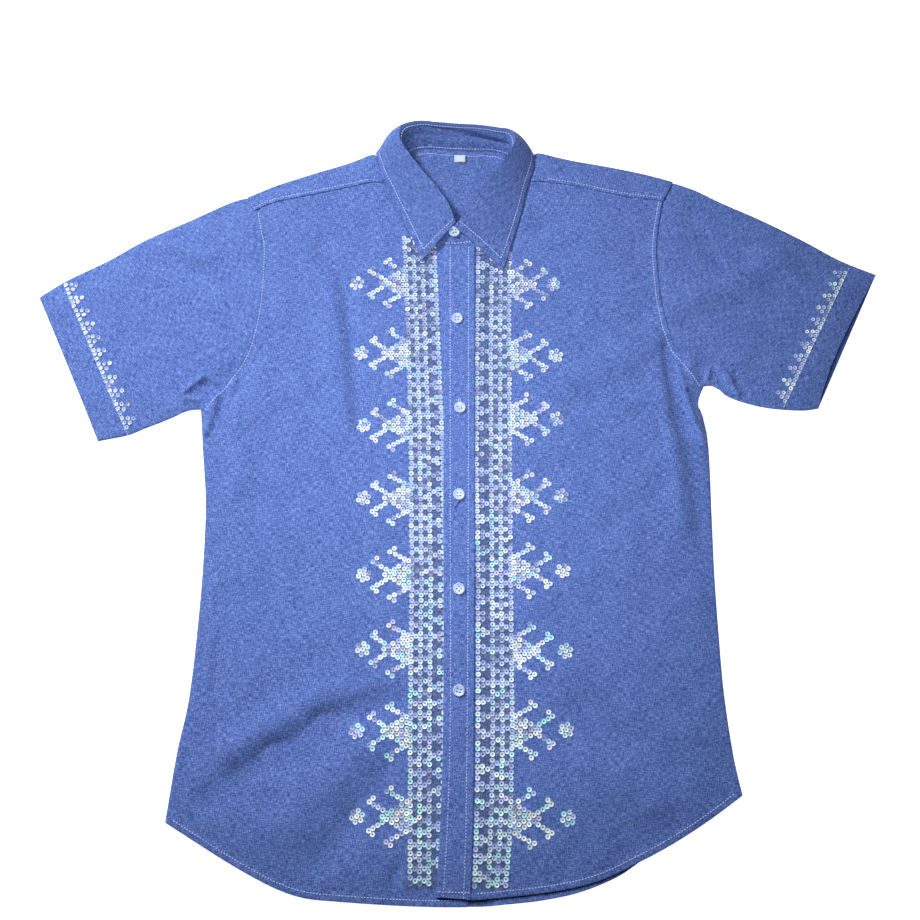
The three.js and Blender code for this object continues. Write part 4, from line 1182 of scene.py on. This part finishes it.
def collar_rows():
    """Stitches round the leaf's margin, and on the band inside the neck."""
    rows = np.linspace(0, LEAF_ROWS, 361)
    shares = np.linspace(0, 1, 41)
    points = leaf_points(rows, shares)
    relief, _ = leaf_relief(points, rows, shares)
    normal = grid_normals(points, False)
    face = points + normal * (relief[..., None] + COLLAR_PLY / 2 - 0.05)
    span = np.minimum(np.linalg.norm(np.diff(points, axis=1), axis=-1).sum(1), LEAF_SPAN)
    lines = []
    corner = LEAF_STITCH / LEAF_ROW_LENGTH
    for start, end in ((corner, 5.3), (LEAF_ROWS - corner, 12.7)):
        at = np.linspace(start, end, 90)
        i = np.interp(at, rows, np.arange(len(rows)))
        j = (1 - LEAF_STITCH / np.interp(at, rows, span)) * (len(shares) - 1)
        lines.append(sampled(face, normal, i, j))
        j = np.linspace(0.5, j[0], 40)
        lines.append(sampled(face, normal, np.full(40, i[0]), j))
    band_rows = np.linspace(5.6, 14.4, 200)
    points = band_points(band_rows, np.array([-0.02, 0.02]))
    normal = grid_normals(points, False)
    lines.append((points[:, 1] + normal[:, 1] * 0.7, normal[:, 1]))
    points = leaf_points(band_rows - 1, np.array([-0.85, -0.8, -0.75]))
    normal = grid_normals(points, False)
    lines.append((points[:, 1] + normal[:, 1] * 0.6, normal[:, 1]))
    inside = neck_points(np.linspace(6.6, 13.4, 160), -NECK_STITCH)
    lines.append(flat_row(inside + 0.4 * np.sin(np.arange(160) / 4.7)[:, None] * (0, 1), yoke_inside_height))
    front_rows = np.linspace(BAND_ROWS - 1.6, BAND_ROWS, 60)
    points = band_points(front_rows, np.array([0.1, 0.16]))
    normal = grid_normals(points, False)
    lines.append((points[:, 0] - normal[:, 0] * 0.6, -normal[:, 0]))
    return lines


def sampled(face, normal, i, j):
    """Places and normals of a grid at fractional rows and columns."""
    a, b = np.clip(i.astype(int), 0, face.shape[0] - 2), np.clip(j.astype(int), 0, face.shape[1] - 2)
    s, t = (i - a)[:, None], (j - b)[:, None]

    def blend(grid):
        low = grid[a, b] * (1 - s) + grid[a + 1, b] * s
        return low * (1 - t) + (grid[a, b + 1] * (1 - s) + grid[a + 1, b + 1] * s) * t

    return blend(face), blend(normal)


# ---------------------------------------------------------------- sequins

CUP = [(0.85, 0.20), (1.4, 0.14), (2.45, 0.62), (1.4, 0.32), (0.85, 0.34)]  # section of the cup, (r, z)
CUP_SIDES = 12
TINTS = {
    "bright": (0.68, 0.78, 0.93), "white": (0.57, 0.71, 0.90), "pale": (0.44, 0.56, 0.84),
    "cyan": (0.36, 0.60, 0.80), "aqua": (0.40, 0.76, 0.84), "lilac": (0.36, 0.42, 0.74),
    "pink": (0.52, 0.48, 0.72), "cream": (0.68, 0.72, 0.78), "grey": (0.25, 0.31, 0.50),
    "dim": (0.17, 0.21, 0.40),
}
MIXES = {
    "band": (("bright", 0.06), ("white", 0.20), ("pale", 0.32), ("cyan", 0.08), ("lilac", 0.20),
             ("pink", 0.02), ("grey", 0.09), ("dim", 0.03)),
    "single": (("white", 0.15), ("pale", 0.28), ("cyan", 0.07), ("lilac", 0.27), ("pink", 0.03),
               ("grey", 0.14), ("dim", 0.06)),
    "border": (("white", 0.26), ("pale", 0.26), ("cream", 0.14), ("lilac", 0.26), ("grey", 0.08)),
    "motif": (("bright", 0.32), ("cream", 0.22), ("white", 0.14), ("cyan", 0.06), ("pink", 0.05),
              ("lilac", 0.13), ("grey", 0.08)),
}
AQUA_GLINT_SHARE, HEM_GLINT_GAIN = 0.13, 0.40  # at the hem, the share that is aqua, and how much brighter they all are: painted highlight for the glints that the hem's sequins catch
HEM_START, HEM_REACH = 60, 420  # the level below which both set in, and how far down they are full
TINT_SPREAD = (0.92, 1.06)  # brightness of the darkest and the brightest of one tint
STRAY, LEAN = 0.18, 0.09  # of each sequin from its place and from upright
ROW_RISE = 0.866  # between close rows of sequins, in pitches
PEAK_STEP, FIRST_PEAK = 0.0851, 0.877  # between peaks, in shares of a border, and to the first, in steps
PEAK_STRETCH, PEAK_FOOT = 1.1, 2  # of a peak: its rows' further spacing, and its distance from the stitches


def hexagons(count):
    """Rows of a triangle of sequins, from its base to its tip, as (outward, up) in pitches."""
    return [(row * ROW_RISE, place - (count - row - 1) / 2)
            for row in range(count) for place in range(count - row)]


def motif():
    """A triangle with two forked arms from its tip and two from its base, as (outward, up) in pitches."""
    places = hexagons(MOTIF_BASE)
    tip, corner = ROW_RISE * (MOTIF_BASE - 1), (MOTIF_BASE - 1) / 2
    for up in (1, -1):
        places += [(tip + out, up * rise) for out, rise in TIP_ARM]
        places += [(out, up * (corner + rise)) for out, rise in BASE_ARM]
    return places


def band_ends(name):
    levels = [level for level, _ in BAND_COLUMNS[name]["outer"]]
    return levels[0], levels[-1]


def column_at(name, key, y):
    table = sorted(BAND_COLUMNS[name][key])
    return np.interp(y, [row[0] for row in table], [row[1] for row in table])


def band_places(name):
    """A band beside the placket: four full columns, singles between the outer three and clusters of three
    beside the innermost."""
    top, bottom = band_ends(name)
    rows = int((top - bottom) / SEQUIN_PITCH) + 1
    chart = [(share, row, "band") for share in FULL_COLUMNS for row in range(rows)]
    chart += [(share, row + 0.5, "single") for share in SINGLE_COLUMNS for row in range(0, rows - 1, 2)]
    chart += [(share, row + down, "single") for share, down in CLUSTER for row in range(0, rows - 2, 3)]
    places = []
    for share, row, kind in chart:
        y = top - row * SEQUIN_PITCH
        inner, outer = column_at(name, "inner", y), column_at(name, "outer", y)
        places.append((inner + (outer - inner) * share, y, kind))
    return places


def motif_places(name):
    sign = -1 if name == "right" else 1
    pitch = SEQUIN_PITCH
    places = []
    for x, y in ROSETTES[name]:
        base = column_at(name, "outer", y) + sign * 0.65 * pitch
        places += [(base + sign * out * pitch, y + up * pitch, "motif") for out, up in motif()]
        places.append((x, y, "motif"))
        turns = [petal * math.pi / 3 + 0.3 for petal in range(6)]
        places += [(x + pitch * math.cos(turn), y + pitch * math.sin(turn), "motif") for turn in turns]
    return places


def border_places(name):
    """Small peaks of sequins on the line of the cuff's stitches, pointing towards the body."""
    start, end = (np.array(point, float) for point in BORDERS[name])
    along = (end - start) / np.linalg.norm(end - start)
    inward = np.array([-along[1], along[0]]) * (1 if name == "right" else -1)
    spacing = PEAK_STEP * np.linalg.norm(end - start)
    pitch = spacing / 3
    places = []
    for peak in range(PEAKS):
        middle = start + along * spacing * (peak + FIRST_PEAK)
        for out, side in hexagons(3):
            inland = out * pitch * PEAK_STRETCH + PEAK_FOOT
            places.append((*(middle + inward * inland + along * side * pitch), "border"))
    return places


def cup_tints(places, random, gain):
    """A tint for each sequin from its kind's mix. Towards the hem they are brighter, and more are aqua:
    painted highlight and iridescent glint.
    """
    colours = []
    for _, y, kind in places:
        names, weights = zip(*MIXES[kind])
        down = smooth((HEM_START - y) / HEM_REACH)
        colour = TINTS[names[random.choice(len(names), p=np.array(weights) / sum(weights))]]
        if random.uniform() < AQUA_GLINT_SHARE * down:
            colour = TINTS["aqua"]
        colour = np.array(colour) * random.uniform(*TINT_SPREAD) * (gain + HEM_GLINT_GAIN * down)
        colours.append(np.clip(colour, 0, 1))
    return np.array(colours)


def sequins(name, places, height, seed, size=1.0, gain=1.0):
    """Cup sequins on a face, each with its own small lean and tint."""
    random = np.random.RandomState(seed)
    at = np.array([place[:2] for place in places]) + random.normal(0, STRAY, (len(places), 2))
    points, normals = flat_row(at, height)
    normals = unit(normals + random.normal(0, LEAN, normals.shape) * (1, 1, 0))
    across = unit(np.cross(np.array([0, 1.0, 0]), normals))
    up = np.cross(normals, across)
    turns = np.arange(CUP_SIDES) * 2 * math.pi / CUP_SIDES
    spin = random.uniform(0, 2 * math.pi, len(points))[:, None] + turns
    radial = across[:, None] * np.cos(spin)[..., None] + up[:, None] * np.sin(spin)[..., None]
    section = np.array(CUP) * size
    cups = points[:, None, None] + radial[:, None] * section[None, :, 0, None, None]
    cups = cups + normals[:, None, None] * section[None, :, 1, None, None]
    sides = len(CUP)
    index = np.arange(len(points) * sides * CUP_SIDES).reshape(len(points), sides, CUP_SIDES)
    after, turned = np.roll(index, -1, axis=1), np.roll(index, -1, axis=2)
    quads = np.stack([index, after, np.roll(after, -1, axis=2), turned], -1).reshape(-1, 4)
    tint = cup_tints(places, random, gain)
    colours = np.repeat(np.hstack([tint, np.ones((len(tint), 1))]), sides * CUP_SIDES, axis=0)
    return piece(name, [(cups.reshape(-1, 3), quads, None)], FILM, colours=colours)


# ---------------------------------------------------------------- buttons

def lathe(profile, sides):
    """A closed round body from a profile of (r, z) that starts and ends on the axis."""
    body = bpy.data.meshes.new("turned")
    turn = np.arange(sides) * 2 * math.pi / sides
    rings = [[(r * math.cos(a), r * math.sin(a), z) for a in turn] for r, z in profile[1:-1]]
    vertices = [(0, 0, profile[0][1])] + [p for ring in rings for p in ring] + [(0, 0, profile[-1][1])]
    faces = []
    for k in range(sides):
        n = (k + 1) % sides
        faces.append((0, 1 + n, 1 + k))
        for ring in range(len(rings) - 1):
            a, b = 1 + ring * sides, 1 + (ring + 1) * sides
            faces.append((a + k, a + n, b + n, b + k))
        a = 1 + (len(rings) - 1) * sides
        faces.append((a + k, a + n, len(vertices) - 1))
    body.from_pydata((np.array(vertices) * MM).tolist(), [], faces)
    return body


HOLE_RADIUS, HOLE_PLACE = 0.82, 1.5
BUTTON_TURNS = (12, -8, 20, 4, 47, -15)  # degrees


def button_mesh():
    """A four-hole button with a raised round rim and a shallow dish."""
    radius, height = 5.75, 2.2
    profile = [(0, 0), (4.9, 0), (5.45, 0.25), (5.7, 0.7), (radius, 1.2), (5.65, 1.75), (5.35, 2.08),
               (4.95, height), (4.6, 2.12), (4.3, 1.85), (3.9, 1.72), (0, 1.62)]
    disc = added("disc", lathe(profile, 48))
    for dx, dy in ((1, 1), (-1, 1), (-1, -1), (1, -1)):
        hole = added("hole", lathe([(0, -1), (HOLE_RADIUS, -1), (HOLE_RADIUS, 4), (0, 4)], 14))
        hole.location = (HOLE_PLACE * dx * MM, HOLE_PLACE * dy * MM, 0)
        cut = disc.modifiers.new("cut", "BOOLEAN")
        cut.operation, cut.solver, cut.object = "DIFFERENCE", "EXACT", hole
    bpy.context.view_layer.update()
    mesh = bpy.data.meshes.new_from_object(disc.evaluated_get(bpy.context.evaluated_depsgraph_get()))
    for thing in [disc] + [o for o in bpy.data.objects if o.name.startswith("hole")]:
        bpy.data.objects.remove(thing)
    mesh.polygons.foreach_set("use_smooth", np.ones(len(mesh.polygons), bool))
    mesh.set_sharp_from_angle(angle=math.radians(35))
    mesh.materials.append(PLASTIC)
    return mesh


def button_place(name):
    """Where a button lies: on the placket, or on the band and leaning with it."""
    x, y = BUTTONS[name]
    if name != "button_1":
        z = placket_height(np.array([[x, y]], float))[0] + SEAM_GAP
        return Matrix.Translation(Vector((x, y, z)) * MM)
    foot, top = Vector(BAND_FOOT[19]), Vector(BAND_TOP[19])
    up = Vector((0, *(top - foot)[1:])).normalized()
    out = Vector((1, 0, 0)).cross(up)
    base = Vector((x, *foot[1:])) + up * (y - foot.y) / up.y + out * 1.3
    return Matrix.Translation(base * MM) @ Matrix(((1, 0, 0), up, out)).transposed().to_4x4()


def bar_stitches(name, bars, place, radius, material=THREAD):
    """Short rounded lengths of thread between pairs of points, in a place of their own."""
    parts = []
    share = np.linspace(0, 1, 9)[:, None]
    for start, end in bars:
        points = np.array(start) * (1 - share) + np.array(end) * share
        points[:, 2] += 0.35 * np.sin(math.pi * share[:, 0])
        along = unit(np.gradient(points, axis=0))
        across = unit(np.cross(along, (0, 0, 1.0)))
        up = np.cross(across, along)
        parts.append(tubes(points[None], across[None], up[None], radius))
    made = piece(name, parts, material)
    made.matrix_world = place
    return made


def buttons():
    mesh = button_mesh()
    for number, name in enumerate(BUTTONS):
        spin = Matrix.Rotation(math.radians(BUTTON_TURNS[number]), 4, "Z")
        place = button_place(name) @ spin
        thing = bpy.data.objects.new(f"{name}_plastic", mesh.copy())
        thing.matrix_world = place
        placed(thing, [name])
        bars = [((-0.9, side * HOLE_PLACE, 1.5), (0.9, side * HOLE_PLACE, 1.5)) for side in (-1, 1)]
        bar_stitches(f"{name}_thread", bars, place, 0.2)
    ends = np.array([(0.6, -43.4), (-1.2, -46.6), (-4.2, -50.6)])
    tail = on_height(ends, lambda places: placket_surface(places) + 0.35)
    bar_stitches("button_4_tail", [tail[:2], tail[1:]], Matrix.Identity(4), 0.42, SLIT_SHADOW_AND_NAVY_THREAD)


HOLE_LEANS = (0, 0.5, -0.2, 0.1, -0.1, 0.2)  # of each buttonhole from upright
HOLE_REACH, LONG_REACH, HOLE_PITCH = 6.4, 9.5, 0.66
SLIT_HALF = 0.4


def buttonholes():
    """An upright slit under each button, with a ridge of close stitches down both of its sides."""
    for number, name in enumerate(BUTTONS):
        if name == "button_1":
            continue
        x, y = BUTTONS[name]
        lean = HOLE_LEANS[number]
        bars = []
        reach = LONG_REACH if name == "button_3" else HOLE_REACH
        for level in np.arange(y - HOLE_REACH, y + reach, HOLE_PITCH):
            centre = x + lean * (level - y) * 0.3
            z = placket_surface(np.array([[centre, level]]))[0] - 0.1
            bars += [((centre + side * 0.25, level, z), (centre + side * 1.25, level, z)) for side in (-1, 1)]
        bar_stitches(f"buttonhole_{number + 1}", bars, Matrix.Identity(4), 0.26)
        # A thin dark sheet of painted shade in the slit.
        rows = np.linspace(y - HOLE_REACH + SLIT_HALF, y + reach - SLIT_HALF, 12)
        middle = x + lean * (rows - y) * 0.3
        places = np.stack([np.stack([middle + dx, rows], -1) for dx in (-SLIT_HALF, 0, SLIT_HALF)])
        faces = shell(lifted(places, placket_surface(places) + 0.12), 0.1)
        piece(f"buttonhole_{number + 1}_slit", [faces], SLIT_SHADOW_AND_NAVY_THREAD)


def label():
    """A short loop of bare tape, folded at its lower edge and caught in the seam at its upper one."""
    width = np.linspace(LABEL["left"], LABEL["right"], 15)
    loop = np.linspace(-math.pi / 2, math.pi / 2, 9)
    top, bottom = LABEL["top"], LABEL["bottom"]
    fold = [(bottom + 0.7 - 0.7 * math.cos(a), 0.95 + 0.65 * math.sin(a)) for a in loop]
    section = np.array([(top, 0.35), (bottom + 2, 0.3), *fold, (bottom + 3, 1.65), (top, 1.2)])
    plan = np.stack(np.broadcast_arrays(width[:, None], section[None, :, 0]), -1)
    z = floor_height(plan) + CLOTH + section[None, :, 1] + 0.12 * np.sin(width / 2.3)[:, None]
    return piece("label_tape", [shell(lifted(plan, z)[:, ::-1], 0.25)], TAPE, ["label"])


# ---------------------------------------------------------------- scene

def camera():
    data = bpy.data.cameras.new("camera")
    data.lens, data.sensor_width = 43.04, 36
    data.clip_start, data.clip_end = 0.05, 20
    thing = added("camera", data)
    thing.location = (0.001, -0.2589, 1.0691)
    thing.rotation_euler = (math.radians(13.615), 0, 0)
    bpy.context.scene.camera = thing


def area_light(name, place, target, size, power):
    data = bpy.data.lights.new(name, "AREA")
    data.size, data.energy = size, power
    thing = added(name, data)
    thing.location = place
    thing.rotation_euler = (Vector(target) - Vector(place)).to_track_quat("-Z", "Y").to_euler()
    thing.visible_camera = False


def studio():
    material = mottled("pale_floor", (3, 3, 3), 2, 0.5, FLOOR_TINTS, Roughness=0.9, Emission_Strength=1.0,
                       Emission_Color=(1, 1, 1, 1))[0]
    mesh = bpy.data.meshes.new("floor")
    half, drop = 3.0, -0.0004
    mesh.from_pydata([(-half, -half, drop), (half, -half, drop), (half, half, drop), (-half, half, drop)], [],
                     [(0, 1, 2, 3)])
    mesh.materials.append(material)
    floor = added("floor", mesh)
    world = bpy.data.worlds.new("studio")
    world.use_nodes = True
    world.node_tree.nodes["Background"].inputs[0].default_value = (0.97, 0.98, 1, 1)
    world.node_tree.nodes["Background"].inputs[1].default_value = 0.03
    bpy.context.scene.world = world
    area_light("key", (-0.939, 0.788, 1.028), (-0.2, 0.1, 0), 0.36, 26.6)
    area_light("overhead", (0.0, 0.0, 0.5), (0.0, 0.0, 0), 0.3, 1.9)
    bpy.context.scene.view_settings.view_transform = "Standard"


# ---------------------------------------------------------------- making

camera()
studio()

cloth = {
    "back": back(),
    "front_right": front("right"),
    "front_left": front("left"),
    "yoke": yoke(),
    "sleeve_right": sleeve("right"),
    "sleeve_left": sleeve("left"),
    "placket": placket(),
    "stand": stand(),
    "leaf": leaf(),
    "label": label(),
}
for key, lines in sewn_rows().items():
    stitch_rows(f"stitches_{key}", lines)
stitch_rows("stitches_collar", collar_rows())
SMALL_CUP = 0.9  # of a sequin on a sleeve
SLEEVE_GAINS = (1.0, 1.5)
for order, name in enumerate(("right", "left")):
    sleeve_cups = SMALL_CUP, SLEEVE_GAINS[order]
    sequins(f"sequins_band_{name}", band_places(name), front_height(name), 11 + order)
    sequins(f"sequins_motifs_{name}", motif_places(name), front_height(name), 21 + order)
    sequins(f"sequins_sleeve_{name}", border_places(name), sleeve_height(name), 31 + order, *sleeve_cups)
buttons()
buttonholes()
